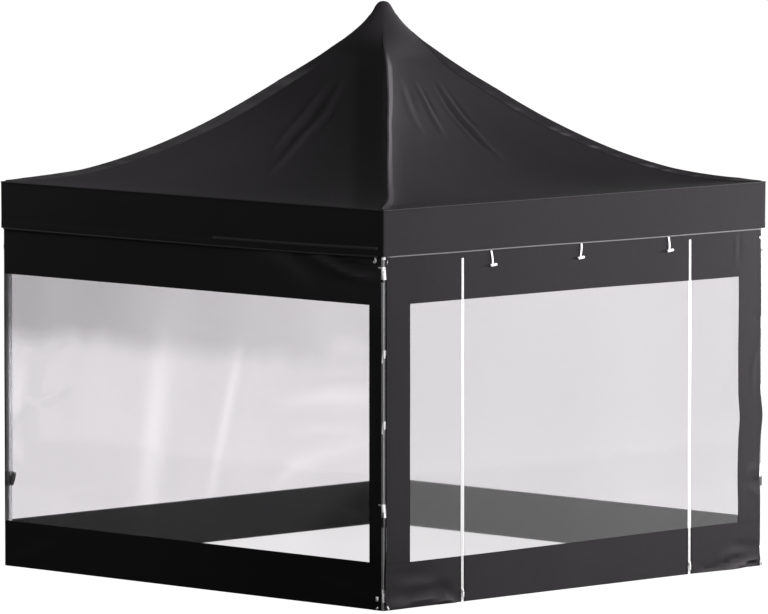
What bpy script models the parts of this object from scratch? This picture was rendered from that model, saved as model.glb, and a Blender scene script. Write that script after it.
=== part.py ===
"""Folding party tent with a peaked roof and four clip-on side walls.

Metres, +Z up. The origin is on the ground under the middle of the roof. The front wall, which has
the roll-up door between two zips, faces -Y.
"""

import math

import bmesh
import bpy
from mathutils import Matrix, Vector

# Roof
ROOF_HALF = 1.500
EAVE_HEIGHT = 2.141
PEAK_HEIGHT = 3.148
DOME_RADIUS = 0.060
CLOTH = 0.005
SEAT_GAP = 0.0003
HIP_LENGTH = ROOF_HALF * math.sqrt(2)
SLOPE_SHARE = 0.96
SLOPE_POWER = 1.75
NECK_RISE = 0.030
NECK_REACH = 0.033
ROUND_UNTIL = 0.10
SQUARE_FROM = 0.60
GORE_BOW = 0.080
GORE_COLUMNS = 10
HIP_SHARPNESS = 18
HEAD_RISE = 0.0013

# Valance and side walls
VALANCE_DROP = 0.258
WALL_OUTER = ROOF_HALF - CLOTH - SEAT_GAP
WALL_INNER = WALL_OUTER - CLOTH
WALL_BOTTOM = 0.010
WALL_TOP = 2.100
WINDOW_BOTTOM = 0.255
WINDOW_TOP = 1.630
STRAP_GAP_END = 1.468
WRAPPED_END = 1.480
SIDE_BORDER_END = 1.387
HEM_END = 1.472
FRONT_RIGHT_END = 1.456
FRONT_WINDOW_LEFT = -1.2975
FRONT_WINDOW_RIGHT = 1.271
ZIP_CENTRE = 0.888
ZIP_WIDTH = 0.024

# Legs
LEG_SIDE = 0.030
LEG_WALL = 0.0018
LEG_CENTRE = 1.4695
LEG_BOTTOM = 0.480
LEG_TOP = 2.0797
INNER_LEG_SIDE = 0.025
INNER_LEG_WALL = 0.0015
INNER_LEG_TOP = 0.780
CORNER_ROUNDING = 0.003
FOOT_THICKNESS = 0.005
FOOT_REACH = 0.080
PEG_HOLE_RADIUS = 0.006
PEG_HOLE_NEAR = 0.012
PEG_HOLE_FAR = 0.058

# Brackets on the legs
SLEEVE_HALF = 0.0183
SLEEVE_BORE = LEG_SIDE / 2 + SEAT_GAP
LOCK_BOTTOM = 0.448
LOCK_TOP = 0.528
LOCK_LIP_BORE = INNER_LEG_SIDE / 2 + 0.0008
LEVER_REACH = 0.032
LEVER_WIDTH = 0.014
SLIDER_HALF_HEIGHT = 0.030
TOP_BRACKET_BOTTOM = 2.050

# Scissor trusses: two bars cross side by side on one pin
UPPER_PIVOT = 2.085
LOWER_PIVOT = 1.785
BAR_HEIGHT = 0.025
BAR_THICKNESS = 0.012
LAYER_OFFSET = 0.0075
PIVOT_FROM_LEG = 0.040
MIDDLE_PIVOT = 0.022
PIN_RADIUS = 0.004
CHEEK = 0.003
CHEEK_GAP = 0.0005
CHEEK_HALF_HEIGHT = 0.015
BAR_END_STEPS = 5

# Middle mast
MAST_RADIUS = 0.017
MAST_BOTTOM = 1.745
HUB_RADIUS = 0.030
HUB_HALF_HEIGHT = 0.020
HUB_PIVOT = 0.058
CAP_DEPTH = 0.030
CAP_CLEARANCE = 0.0004
DOME_ANGLES = (0, 13, 27, 41, 55, 69, 84)

SIDES = {"front": 0, "right": 90, "back": 180, "left": 270}
CORNERS = {"front_left": 0, "front_right": 90, "back_right": 180, "back_left": 270}

PARTS = "folding_party_tent"


def clear_scene():
    for obj in list(bpy.data.objects):
        bpy.data.objects.remove(obj, do_unlink=True)


def new_collection(name):
    collection = bpy.data.collections.new(name)
    bpy.context.scene.collection.children.link(collection)
    return collection


def new_material(name, colour, roughness, metallic=0.0, alpha=1.0):
    material = bpy.data.materials.new(name)
    material.use_nodes = True
    shader = material.node_tree.nodes["Principled BSDF"]
    shader.inputs["Base Color"].default_value = (*colour, 1.0)
    shader.inputs["Roughness"].default_value = roughness
    shader.inputs["Metallic"].default_value = metallic
    shader.inputs["Alpha"].default_value = alpha
    return material


def add_part(name, mesh, material, turn=0.0, location=(0.0, 0.0, 0.0)):
    """A named part from a mesh, turned about Z by whole degrees after it is moved to location."""
    obj = bpy.data.objects.new(name, mesh)
    bpy.data.collections[PARTS].objects.link(obj)
    around = Matrix.Rotation(math.radians(turn), 4, "Z")
    obj.matrix_world = around @ Matrix.Translation(location)
    if material.name not in mesh.materials:
        mesh.materials.append(material)
    return obj


# Solids as meshes, and how they are fused and cut


def mesh_from(bm, name):
    mesh = bpy.data.meshes.new(name)
    bm.to_mesh(mesh)
    bm.free()
    return mesh


def block(low, high, rounding=0.0):
    """A box between two corners, with its upright edges rounded."""
    low, high = Vector(low), Vector(high)
    bm = bmesh.new()
    placed = Matrix.LocRotScale((low + high) / 2, None, high - low)
    bmesh.ops.create_cube(bm, size=1.0, matrix=placed)
    if rounding:
        upright = [e for e in bm.edges if abs(e.verts[0].co.z - e.verts[1].co.z) > 1e-6]
        bmesh.ops.bevel(
            bm, geom=upright, offset=rounding, segments=2, profile=0.5, affect="EDGES"
        )
    return mesh_from(bm, "block")


def rod(start, end, radius, sides=12):
    """A solid round rod between two points."""
    start, end = Vector(start), Vector(end)
    along = end - start
    turned = along.to_track_quat("Z", "Y").to_matrix().to_4x4()
    bm = bmesh.new()
    bmesh.ops.create_cone(
        bm,
        cap_ends=True,
        segments=sides,
        radius1=radius,
        radius2=radius,
        depth=along.length,
        matrix=Matrix.Translation((start + end) / 2) @ turned,
    )
    return mesh_from(bm, "rod")


def flat_outline(outlines, thickness, placed):
    """A plate cut to closed outlines, each a list of (x, y), with later ones as holes."""
    curve = bpy.data.curves.new("outline", "CURVE")
    curve.dimensions = "2D"
    curve.fill_mode = "BOTH"
    curve.extrude = thickness / 2
    for points in outlines:
        spline = curve.splines.new("POLY")
        spline.points.add(len(points) - 1)
        spline.use_cyclic_u = True
        for point, (x, y) in zip(spline.points, points):
            point.co = (x, y, 0.0, 1.0)
    helper = bpy.data.objects.new("outline", curve)
    bpy.context.scene.collection.objects.link(helper)
    mesh = evaluated_mesh(helper)
    bpy.data.objects.remove(helper)
    bm = bmesh.new()
    bm.from_mesh(mesh)
    bmesh.ops.remove_doubles(bm, verts=bm.verts, dist=1e-6)
    bmesh.ops.dissolve_limit(bm, angle_limit=0.001, verts=bm.verts, edges=bm.edges)
    bmesh.ops.recalc_face_normals(bm, faces=bm.faces)
    bm.transform(placed)
    bpy.data.meshes.remove(mesh)
    return mesh_from(bm, "plate")


def evaluated_mesh(obj):
    graph = bpy.context.evaluated_depsgraph_get()
    return bpy.data.meshes.new_from_object(obj.evaluated_get(graph))


def fused(bodies, holes=()):
    """One mesh: the first body, joined with the others and cut by the holes."""
    helpers = []
    for mesh in (*bodies, *holes):
        helper = bpy.data.objects.new("helper", mesh)
        bpy.context.scene.collection.objects.link(helper)
        helpers.append(helper)
    base = helpers[0]
    for number, helper in enumerate(helpers[1:], start=1):
        cut = base.modifiers.new("join", "BOOLEAN")
        cut.operation = "UNION" if number < len(bodies) else "DIFFERENCE"
        cut.solver = "EXACT"
        cut.object = helper
    mesh = evaluated_mesh(base)
    for helper in helpers:
        bpy.data.objects.remove(helper, do_unlink=True)
    return mesh


def rounded_bar(start, end, height, thickness, placed):
    """A flat bar between two pivots in its own XY plane, with round ends."""
    start, end = Vector(start), Vector(end)
    lean = math.atan2(end.y - start.y, end.x - start.x)
    points = []
    for centre, first in ((end, lean - math.pi / 2), (start, lean + math.pi / 2)):
        for step in range(BAR_END_STEPS + 1):
            angle = first + math.pi * step / BAR_END_STEPS
            points.append(
                (
                    centre.x + height / 2 * math.cos(angle),
                    centre.y + height / 2 * math.sin(angle),
                )
            )
    return flat_outline([points], thickness, placed)


# Roof


def hip_height(reach):
    """Height of the roof on a hip, at a level distance from the peak's axis."""
    if reach < DOME_RADIUS:
        return PEAK_HEIGHT - DOME_RADIUS + math.sqrt(DOME_RADIUS**2 - reach**2)
    left = 1.0 - reach / HIP_LENGTH
    slope = SLOPE_SHARE * max(left, 0.0) ** SLOPE_POWER
    neck = NECK_RISE * math.exp(-(reach - DOME_RADIUS) / NECK_REACH)
    return EAVE_HEIGHT + (PEAK_HEIGHT - EAVE_HEIGHT) * (slope + neck)


def roof_point(reach, across):
    """A point of the front gore: reach is the hip's distance, across runs from -1 to 1."""
    corner = reach / math.sqrt(2)
    share = reach / HIP_LENGTH
    bow = GORE_BOW * 4.0 * share * (1.0 - share) * (1.0 - across**2)
    flat = Vector((across * corner, bow - corner))
    angle = across * math.pi / 4
    round_ = Vector((reach * math.sin(angle), -reach * math.cos(angle)))
    squared = min(max((reach - ROUND_UNTIL) / (SQUARE_FROM - ROUND_UNTIL), 0.0), 1.0)
    squared = squared * squared * (3.0 - 2.0 * squared)
    level = round_.lerp(flat, squared)
    return Vector((level.x, level.y, hip_height(reach)))


def roof_rows():
    """Hip distances of the roof's rows: over the dome, round the neck, then down the slope."""
    dome = [DOME_RADIUS * math.sin(math.radians(angle)) for angle in DOME_ANGLES]
    slope_rows = 13
    first, last = 0.068, HIP_LENGTH
    slope = [
        first + (last - first) * (row / slope_rows) ** 1.8
        for row in range(slope_rows + 1)
    ]
    return dome + slope


def make_roof(cloth):
    rows = roof_rows()
    bm = bmesh.new()
    for quarter in range(4):
        grid = bmesh.ops.create_grid(
            bm, x_segments=GORE_COLUMNS, y_segments=len(rows) - 1, size=1.0
        )
        turned = Matrix.Rotation(quarter * math.pi / 2, 4, "Z")
        for vert in grid["verts"]:
            row = round((vert.co.y + 1.0) / 2.0 * (len(rows) - 1))
            vert.co = turned @ roof_point(rows[row], vert.co.x)
    bmesh.ops.remove_doubles(bm, verts=bm.verts, dist=1e-5)
    bmesh.ops.recalc_face_normals(bm, faces=bm.faces)
    if sum(face.normal.z for face in bm.faces) < 0:
        bmesh.ops.reverse_faces(bm, faces=bm.faces)
    roof = add_part("roof_skin", mesh_from(bm, "roof_skin"), cloth)
    roof.data.shade_smooth()
    roof.data.set_sharp_from_angle(angle=math.radians(HIP_SHARPNESS))
    thickness = roof.modifiers.new("thickness", "SOLIDIFY")
    thickness.thickness = CLOTH
    thickness.offset = -1.0
    return roof


# Valance and walls


def wall_panel(outlines, outer=WALL_OUTER):
    """A wall piece of cloth from outlines seen from outside: across to the right, then height."""
    upright = Matrix.Rotation(math.pi / 2, 4, "X")
    placed = Matrix.Translation((0.0, CLOTH / 2 - outer, 0.0)) @ upright
    return flat_outline(outlines, CLOTH, placed)


def rectangle(left, bottom, right, top):
    return [(left, bottom), (right, bottom), (right, top), (left, top)]


def make_valances(cloth):
    """Four panels hang from the roof's edge: the front and back ones run past the other two."""
    top = EAVE_HEIGHT - CLOTH - SEAT_GAP
    for side, turn in SIDES.items():
        end = ROOF_HALF if side in ("front", "back") else WALL_OUTER
        outline = rectangle(-end, top - VALANCE_DROP, end, top)
        add_part(f"valance_{side}", wall_panel([outline], ROOF_HALF), cloth, turn)


def make_window_wall(side, ends, window, cloth, film):
    """A wall with one wide window: a ring of cloth, and the clear film inside it."""
    ring = [
        rectangle(ends[0], WALL_BOTTOM, ends[1], WALL_TOP),
        rectangle(window[0], WINDOW_BOTTOM, window[1], WINDOW_TOP),
    ]
    pane = rectangle(
        window[0] + SEAT_GAP,
        WINDOW_BOTTOM + SEAT_GAP,
        window[1] - SEAT_GAP,
        WINDOW_TOP - SEAT_GAP,
    )
    turn = SIDES[side]
    add_part(f"wall_{side}_cloth", wall_panel(ring), cloth, turn)
    add_part(f"wall_{side}_window", wall_panel([pane]), film, turn)


def front_side_panel(outer_end, window_end, zip_edge):
    """The cloth beside the door, a C that is open towards the zip."""
    return [
        (zip_edge, WALL_BOTTOM),
        (zip_edge, WINDOW_BOTTOM),
        (window_end, WINDOW_BOTTOM),
        (window_end, WINDOW_TOP),
        (zip_edge, WINDOW_TOP),
        (zip_edge, WALL_TOP),
        (outer_end, WALL_TOP),
        (outer_end, WALL_BOTTOM),
    ]


def make_front_wall(cloth, film, zip_white):
    """The door wall: a panel and a window each side, the door's two bands and window, two zips."""
    zip_edge = ZIP_CENTRE + ZIP_WIDTH / 2 + SEAT_GAP
    door_edge = ZIP_CENTRE - ZIP_WIDTH / 2 - SEAT_GAP
    low, high = WINDOW_BOTTOM + SEAT_GAP, WINDOW_TOP - SEAT_GAP
    cloths = {
        "wall_front_left_cloth": front_side_panel(-STRAP_GAP_END, FRONT_WINDOW_LEFT, -zip_edge),
        "wall_front_right_cloth": front_side_panel(FRONT_RIGHT_END, FRONT_WINDOW_RIGHT, zip_edge),
        "door_top_band": rectangle(-door_edge, WINDOW_TOP, door_edge, WALL_TOP),
        "door_bottom_band": rectangle(-door_edge, WALL_BOTTOM, door_edge, WINDOW_BOTTOM),
    }
    films = {
        "wall_front_left_window": rectangle(FRONT_WINDOW_LEFT + SEAT_GAP, low, -zip_edge, high),
        "door_window": rectangle(-door_edge, low, door_edge, high),
        "wall_front_right_window": rectangle(zip_edge, low, FRONT_WINDOW_RIGHT - SEAT_GAP, high),
    }
    for name, outline in cloths.items():
        add_part(name, wall_panel([outline]), cloth)
    for name, outline in films.items():
        add_part(name, wall_panel([outline]), film)
    for name, centre in (("door_zip_left", -ZIP_CENTRE), ("door_zip_right", ZIP_CENTRE)):
        outline = rectangle(
            centre - ZIP_WIDTH / 2, WALL_BOTTOM, centre + ZIP_WIDTH / 2, WALL_TOP
        )
        add_part(name, wall_panel([outline]), zip_white)


# Legs. Each is drawn at the origin, with +X and +Y pointing into the tent.


def square_tube(side, wall, bottom, top):
    half, bore = side / 2, side / 2 - wall
    outside = block((-half, -half, bottom), (half, half, top), CORNER_ROUNDING)
    inside = block(
        (-bore, -bore, bottom - 0.01), (bore, bore, top + 0.01), CORNER_ROUNDING - wall
    )
    return fused([outside], [inside])


def inner_leg_mesh():
    """The lower tube with its foot plate, which reaches into the tent and has two peg holes."""
    edge = -LEG_SIDE / 2
    plate = block((edge, edge, 0.0), (FOOT_REACH, FOOT_REACH, FOOT_THICKNESS), 0.004)
    half = INNER_LEG_SIDE / 2
    bore = half - INNER_LEG_WALL
    tube = block((-half, -half, 0.001), (half, half, INNER_LEG_TOP), CORNER_ROUNDING)
    hollow = block(
        (-bore, -bore, FOOT_THICKNESS), (bore, bore, INNER_LEG_TOP + 0.01), INNER_LEG_WALL
    )
    holes = [
        rod((x, y, -0.01), (x, y, FOOT_THICKNESS + 0.01), PEG_HOLE_RADIUS)
        for x, y in ((PEG_HOLE_FAR, PEG_HOLE_NEAR), (PEG_HOLE_NEAR, PEG_HOLE_FAR))
    ]
    return fused([plate, tube], [hollow, *holes])


def height_lock_mesh():
    """The collar at the upper tube's lower end, with the lever that pulls its pin."""
    half, bore, lip = SLEEVE_HALF, SLEEVE_BORE, LOCK_LIP_BORE
    collar = block((-half, -half, LOCK_BOTTOM), (half, half, LOCK_TOP), CORNER_ROUNDING)
    seat = block((-bore, -bore, LEG_BOTTOM - SEAT_GAP), (bore, bore, LOCK_TOP + 0.01))
    way = block((-lip, -lip, LOCK_BOTTOM - 0.01), (lip, lip, LOCK_TOP + 0.01))
    root = half - 0.0015
    side_view = [
        (root, LOCK_BOTTOM + 0.010),
        (half + LEVER_REACH * 0.30, LOCK_BOTTOM + 0.006),
        (half + LEVER_REACH * 0.70, LOCK_BOTTOM + 0.030),
        (half + LEVER_REACH, LOCK_TOP - 0.012),
        (half + LEVER_REACH * 0.85, LOCK_TOP - 0.002),
        (half + LEVER_REACH * 0.55, LOCK_TOP - 0.006),
        (root, LOCK_TOP - 0.030),
    ]
    upright = Matrix.Rotation(math.pi / 2, 4, "X")
    lever = flat_outline([side_view], LEVER_WIDTH, upright)
    return fused([collar, lever], [seat, way])


def fork(pivot, height, layer):
    """Two cheeks that hold a bar end, reaching along +X from the bracket's body to the pivot."""
    centre = -LAYER_OFFSET if layer == "outer" else LAYER_OFFSET
    inner_face = BAR_THICKNESS / 2 + CHEEK_GAP
    cheeks = []
    for near, far in ((inner_face, inner_face + CHEEK), (-inner_face - CHEEK, -inner_face)):
        cheeks.append(
            block(
                (SLEEVE_HALF - 0.002, centre + near, height - CHEEK_HALF_HEIGHT),
                (pivot + 0.013, centre + far, height + CHEEK_HALF_HEIGHT),
            )
        )
    return cheeks


def mirrored_forks(pivot, height, layer):
    """A fork along +X for one side of the tent, and its mirror image along +Y for the next."""
    forks = fork(pivot, height, layer)
    swapped = Matrix(((0, 1, 0, 0), (1, 0, 0, 0), (0, 0, 1, 0), (0, 0, 0, 1)))
    for cheek in list(forks):
        other = cheek.copy()
        other.transform(swapped)
        other.flip_normals()
        forks.append(other)
    return forks


def slider_mesh():
    half, bore = SLEEVE_HALF, SLEEVE_BORE
    low, high = LOWER_PIVOT - SLIDER_HALF_HEIGHT, LOWER_PIVOT + SLIDER_HALF_HEIGHT
    sleeve = block((-half, -half, low), (half, half, high), CORNER_ROUNDING)
    way = block((-bore, -bore, low - 0.01), (bore, bore, high + 0.01))
    return fused([sleeve, *mirrored_forks(PIVOT_FROM_LEG, LOWER_PIVOT, "inner")], [way])


def top_bracket_mesh():
    """The head of the leg: a cap on the tube, and the forks of the two upper bars."""
    half, bore = SLEEVE_HALF, SLEEVE_BORE
    head_top = EAVE_HEIGHT - CLOTH + HEAD_RISE
    head = block((-half, -half, TOP_BRACKET_BOTTOM), (half, half, head_top), CORNER_ROUNDING)
    socket = block((-bore, -bore, TOP_BRACKET_BOTTOM - 0.01), (bore, bore, LEG_TOP + SEAT_GAP))
    return fused([head, *mirrored_forks(PIVOT_FROM_LEG, UPPER_PIVOT, "outer")], [socket])


def make_legs(metal, plastic):
    meshes = (
        ("leg_outer", square_tube(LEG_SIDE, LEG_WALL, LEG_BOTTOM, LEG_TOP), metal),
        ("leg_inner", inner_leg_mesh(), metal),
        ("height_lock", height_lock_mesh(), plastic),
        ("leg_slider", slider_mesh(), plastic),
        ("top_bracket", top_bracket_mesh(), plastic),
    )
    for corner, turn in CORNERS.items():
        for name, mesh, material in meshes:
            add_part(f"{name}_{corner}", mesh, material, turn, (-LEG_CENTRE, -LEG_CENTRE, 0.0))


# Trusses. Side trusses are drawn for the front, arms for the line from the front to the mast.


def side_truss_mesh():
    """Two crossed pairs of bars between two legs, and the two brackets in the middle."""
    upright = Matrix.Rotation(math.pi / 2, 4, "X")
    outer = Matrix.Translation((0.0, -LEG_CENTRE - LAYER_OFFSET, 0.0)) @ upright
    inner = Matrix.Translation((0.0, -LEG_CENTRE + LAYER_OFFSET, 0.0)) @ upright
    leg = LEG_CENTRE - PIVOT_FROM_LEG
    solids = []
    for way in (-1, 1):
        high_end, low_end = (way * leg, UPPER_PIVOT), (way * leg, LOWER_PIVOT)
        solids.append(
            rounded_bar(high_end, (way * MIDDLE_PIVOT, LOWER_PIVOT), BAR_HEIGHT, BAR_THICKNESS, outer)
        )
        solids.append(
            rounded_bar(low_end, (way * MIDDLE_PIVOT, UPPER_PIVOT), BAR_HEIGHT, BAR_THICKNESS, inner)
        )
        solids.append(crossing_pin((way * (leg + MIDDLE_PIVOT) / 2, -LEG_CENTRE), "y"))
    solids += middle_bracket(LOWER_PIVOT, -LAYER_OFFSET, LAYER_OFFSET)
    solids += middle_bracket(UPPER_PIVOT, LAYER_OFFSET, -LAYER_OFFSET)
    return fused(solids)


def crossing_pin(centre, axis):
    """The pin where two bars cross, half-way between the upper and lower pivots."""
    height = (UPPER_PIVOT + LOWER_PIVOT) / 2
    reach = LAYER_OFFSET + BAR_THICKNESS / 2 + 0.002
    x, y = centre
    if axis == "y":
        return rod((x, y - reach, height), (x, y + reach, height), PIN_RADIUS)
    return rod((x - reach, y, height), (x + reach, y, height), PIN_RADIUS)


def middle_bracket(height, layer, arm_layer):
    """Holds two side bars in one layer on two pins, and forks inwards for the arm to the mast."""
    line = -LEG_CENTRE + layer
    face = BAR_THICKNESS / 2 + CHEEK_GAP
    half_width = MIDDLE_PIVOT + 0.014
    low, high = height - CHEEK_HALF_HEIGHT, height + CHEEK_HALF_HEIGHT
    solids = []
    for near, far in ((-face - CHEEK, -face), (face, face + CHEEK)):
        solids.append(block((-half_width, line + near, low), (half_width, line + far, high)))
    solids.append(block((-0.005, line - face - 0.001, low + 0.001), (0.005, line + face + 0.001, high - 0.001)))
    pin_reach = face + CHEEK + 0.0015
    for way in (-1, 1):
        x = way * MIDDLE_PIVOT
        solids.append(rod((x, line - pin_reach, height), (x, line + pin_reach, height), PIN_RADIUS))
    pivot = -LEG_CENTRE + PIVOT_FROM_LEG
    for near, far in ((-face - CHEEK, -face), (face, face + CHEEK)):
        solids.append(
            block(
                (arm_layer + near, line + face + 0.0015, low + 0.0005),
                (arm_layer + far, pivot + 0.013, high - 0.0005),
            )
        )
    return solids


def arm_mesh():
    """The crossed pair of bars from a side's middle to the two hubs on the mast."""
    upright = Matrix(((0, 0, 1, 0), (1, 0, 0, 0), (0, 1, 0, 0), (0, 0, 0, 1)))
    left = Matrix.Translation((-LAYER_OFFSET, 0.0, 0.0)) @ upright
    right = Matrix.Translation((LAYER_OFFSET, 0.0, 0.0)) @ upright
    wall_end, hub_end = -LEG_CENTRE + PIVOT_FROM_LEG, -HUB_PIVOT
    falling = rounded_bar(
        (wall_end, UPPER_PIVOT), (hub_end, LOWER_PIVOT), BAR_HEIGHT, BAR_THICKNESS, left
    )
    rising = rounded_bar(
        (wall_end, LOWER_PIVOT), (hub_end, UPPER_PIVOT), BAR_HEIGHT, BAR_THICKNESS, right
    )
    pin = crossing_pin((0.0, (wall_end + hub_end) / 2), "x")
    return fused([falling, rising, pin])


def make_trusses(metal):
    truss, arm = side_truss_mesh(), arm_mesh()
    for side, turn in SIDES.items():
        add_part(f"truss_{side}", truss, metal, turn)
        add_part(f"roof_arm_{side}", arm, metal, turn)


# Mast


def hub_mesh(height, layer):
    """A round collar on the mast with four forks."""
    body = rod(
        (0, 0, height - HUB_HALF_HEIGHT), (0, 0, height + HUB_HALF_HEIGHT), HUB_RADIUS, 24
    )
    bore = rod(
        (0, 0, height - 0.03), (0, 0, height + 0.03), MAST_RADIUS + SEAT_GAP, 24
    )
    face = BAR_THICKNESS / 2 + CHEEK_GAP
    low, high = height - CHEEK_HALF_HEIGHT, height + CHEEK_HALF_HEIGHT
    cheeks = []
    for quarter in range(4):
        turned = Matrix.Rotation(quarter * math.pi / 2, 4, "Z")
        for near, far in ((-face - CHEEK, -face), (face, face + CHEEK)):
            cheek = block(
                (layer + near, -HUB_PIVOT - 0.013, low), (layer + far, -0.022, high)
            )
            cheek.transform(turned)
            cheeks.append(cheek)
    return fused([body, *cheeks], [bore])


def mast_cap(plastic):
    """The mushroom that carries the roof's peak, in the same facets as the roof's dome."""
    cap_dome = DOME_RADIUS - CLOTH - CAP_CLEARANCE
    centre = PEAK_HEIGHT - DOME_RADIUS
    outline = []
    for degrees in DOME_ANGLES[:-1]:
        angle = math.radians(degrees)
        outline.append((cap_dome * math.sin(angle), centre + cap_dome * math.cos(angle)))
    edge, skirt = outline[-1][0], outline[-1][1] - 0.015
    outline.append((edge, skirt))
    outline.append((MAST_RADIUS + 0.006, skirt - 0.006))
    outline.append((MAST_RADIUS + 0.006, skirt - CAP_DEPTH))
    outline.append((0.0, skirt - CAP_DEPTH))
    mesh = bpy.data.meshes.new("mast_cap")
    edges = [(i, i + 1) for i in range(len(outline) - 1)]
    mesh.from_pydata([(r, 0.0, z) for r, z in outline], edges, [])
    cap = add_part("mast_cap", mesh, plastic)
    turned = cap.modifiers.new("turned", "SCREW")
    turned.axis = "Z"
    turned.steps = turned.render_steps = 4 * GORE_COLUMNS
    turned.use_merge_vertices = True
    turned.merge_threshold = 0.0001
    turned.use_normal_calculate = True
    return skirt - CAP_DEPTH


def make_mast(metal, plastic):
    top = mast_cap(plastic) - SEAT_GAP
    mast = rod((0, 0, MAST_BOTTOM), (0, 0, top), MAST_RADIUS, 24)
    add_part("mast", mast, metal)
    add_part("hub_upper", hub_mesh(UPPER_PIVOT, LAYER_OFFSET), plastic)
    add_part("hub_lower", hub_mesh(LOWER_PIVOT, -LAYER_OFFSET), plastic)


def main():
    clear_scene()
    new_collection(PARTS)
    cloth = new_material("polyester_cloth", (0.018, 0.018, 0.020), 0.75)
    film = new_material("clear_film", (0.85, 0.86, 0.88), 0.12, alpha=0.35)
    zip_white = new_material("zip_white", (0.80, 0.80, 0.81), 0.50)
    metal = new_material("leg_aluminium", (0.62, 0.63, 0.64), 0.35, metallic=1.0)
    plastic = new_material("bracket_nylon", (0.05, 0.05, 0.055), 0.45)
    make_roof(cloth)
    make_valances(cloth)
    make_front_wall(cloth, film, zip_white)
    plain, hemmed = (-STRAP_GAP_END, STRAP_GAP_END), (-SIDE_BORDER_END, SIDE_BORDER_END)
    make_window_wall("right", plain, hemmed, cloth, film)
    make_window_wall("left", (-WRAPPED_END, plain[1]), (-HEM_END, hemmed[1]), cloth, film)
    make_window_wall("back", (plain[0], WRAPPED_END), (hemmed[0], HEM_END), cloth, film)
    make_legs(metal, plastic)
    make_trusses(metal)
    make_mast(metal, plastic)


main()
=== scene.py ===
"""Folding party tent: the looks of its cloth, films, straps and frame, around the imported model."""

import math

import bmesh
import bpy
from bpy.props import FloatProperty, FloatVectorProperty, IntProperty, PointerProperty
from mathutils import Matrix, Vector, noise


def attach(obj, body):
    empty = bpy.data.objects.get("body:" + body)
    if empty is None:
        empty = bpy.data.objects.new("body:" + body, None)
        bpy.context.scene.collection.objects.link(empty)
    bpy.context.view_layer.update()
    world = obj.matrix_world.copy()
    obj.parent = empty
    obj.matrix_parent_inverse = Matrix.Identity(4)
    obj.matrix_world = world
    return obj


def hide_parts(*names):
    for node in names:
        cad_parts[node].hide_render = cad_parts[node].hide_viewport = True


bl_info = {
    "name": "Folding Party Tent",
    "version": (1, 0, 0),
    "blender": (4, 5, 0),
    "location": "View3D > Sidebar > Tent",
    "description": "Dresses the packed tent with cloth, clear film, zips, straps and frame finishes",
    "category": "Object",
}

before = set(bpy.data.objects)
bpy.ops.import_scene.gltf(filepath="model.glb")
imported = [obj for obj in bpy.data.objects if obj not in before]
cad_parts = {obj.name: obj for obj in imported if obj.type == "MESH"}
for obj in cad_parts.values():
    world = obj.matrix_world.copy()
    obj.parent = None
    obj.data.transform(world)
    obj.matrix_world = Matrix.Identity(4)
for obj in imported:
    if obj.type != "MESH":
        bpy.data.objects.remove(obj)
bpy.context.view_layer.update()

# Sizes in metres. Most are the source's own; the roof bows in deeper and its crown is lower.
ROOF_HALF = 1.500
EAVE_HEIGHT = 2.141
PEAK_HEIGHT = 3.148
DOME_RADIUS = 0.060
HIP_LENGTH = ROOF_HALF * math.sqrt(2)
SLOPE_SHARE = 0.96
SLOPE_POWER = 1.75
NECK_RISE = 0.030
NECK_REACH = 0.033
ROUND_UNTIL = 0.065
SQUARE_FROM = 0.38
GORE_BOW = 0.165
PATCH_REACH = 0.574
VALANCE_BOTTOM = 1.883
VALANCE_HEIGHT = 0.26
# The cloth over the mast cap: distance from the peak's axis, height
CROWN = [
    (0.0, 3.1405), (0.015, 3.1385), (0.029, 3.1317), (0.041, 3.1180), (0.050, 3.1030), (0.057, 3.0900),
    (0.066, 3.0760), (0.080, 3.0614), (0.095, 3.0437),
]
WALL_DEPTH = 1.4922
FILM_DEPTH = 1.4908
WALL_BOTTOM = 0.002
WALL_TOP = 2.100
WINDOW_BOTTOM = 0.255
WINDOW_TOP = 1.630
STRAP_GAP_END = 1.468
WRAPPED_END = 1.480
SIDE_BORDER_END = 1.387
HEM_END = 1.472
FRONT_RIGHT_END = 1.467
FRONT_WINDOW = (-1.2905, 1.286)
ZIP_CENTRE = 0.8915
ZIP_WIDTH = 0.0195
ZIP_TOP = 1.852
LEG_CENTRE = 1.4695
UPPER_PIVOT = 2.085
LOWER_PIVOT = 1.785
PIVOT_FROM_LEG = 0.040
MIDDLE_PIVOT = 0.022
LAYER_OFFSET = 0.0075
HUB_PIVOT = 0.058

# How the cloth is sewn: the width of a hem, a seam's distance from a window, how far the film
# lies under the cloth's edge, where upright seams end, and the step of a seam's line
HEM = 0.022
SEAM_GAP = 0.005
FILM_LAP = 0.006
SEAM_TOP = 1.88
SEAM_STEP = 0.03
# The wall's cloth lies flat from here up, behind the valance
FLAT_FROM = (1.86, 1.90)
LEFT_WALL_END = 1.477
WEAVE_PITCH = 0.003

SIDES = {"front": 0, "right": 90, "back": 180, "left": 270}
CORNERS = {"front_left": 0, "front_right": 90, "back_right": 180, "back_left": 270}
# Height, half width, length and lean of the straps on a leg
STRAPS = [
    (1.884, 0.0190, 0.016, 0.0), (1.803, 0.0200, 0.068, -0.10), (1.359, 0.0162, 0.068, 0.10),
    (0.980, 0.0162, 0.068, 0.09), (0.535, 0.0190, 0.072, -0.10), (0.080, 0.0142, 0.068, -0.04),
]

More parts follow.
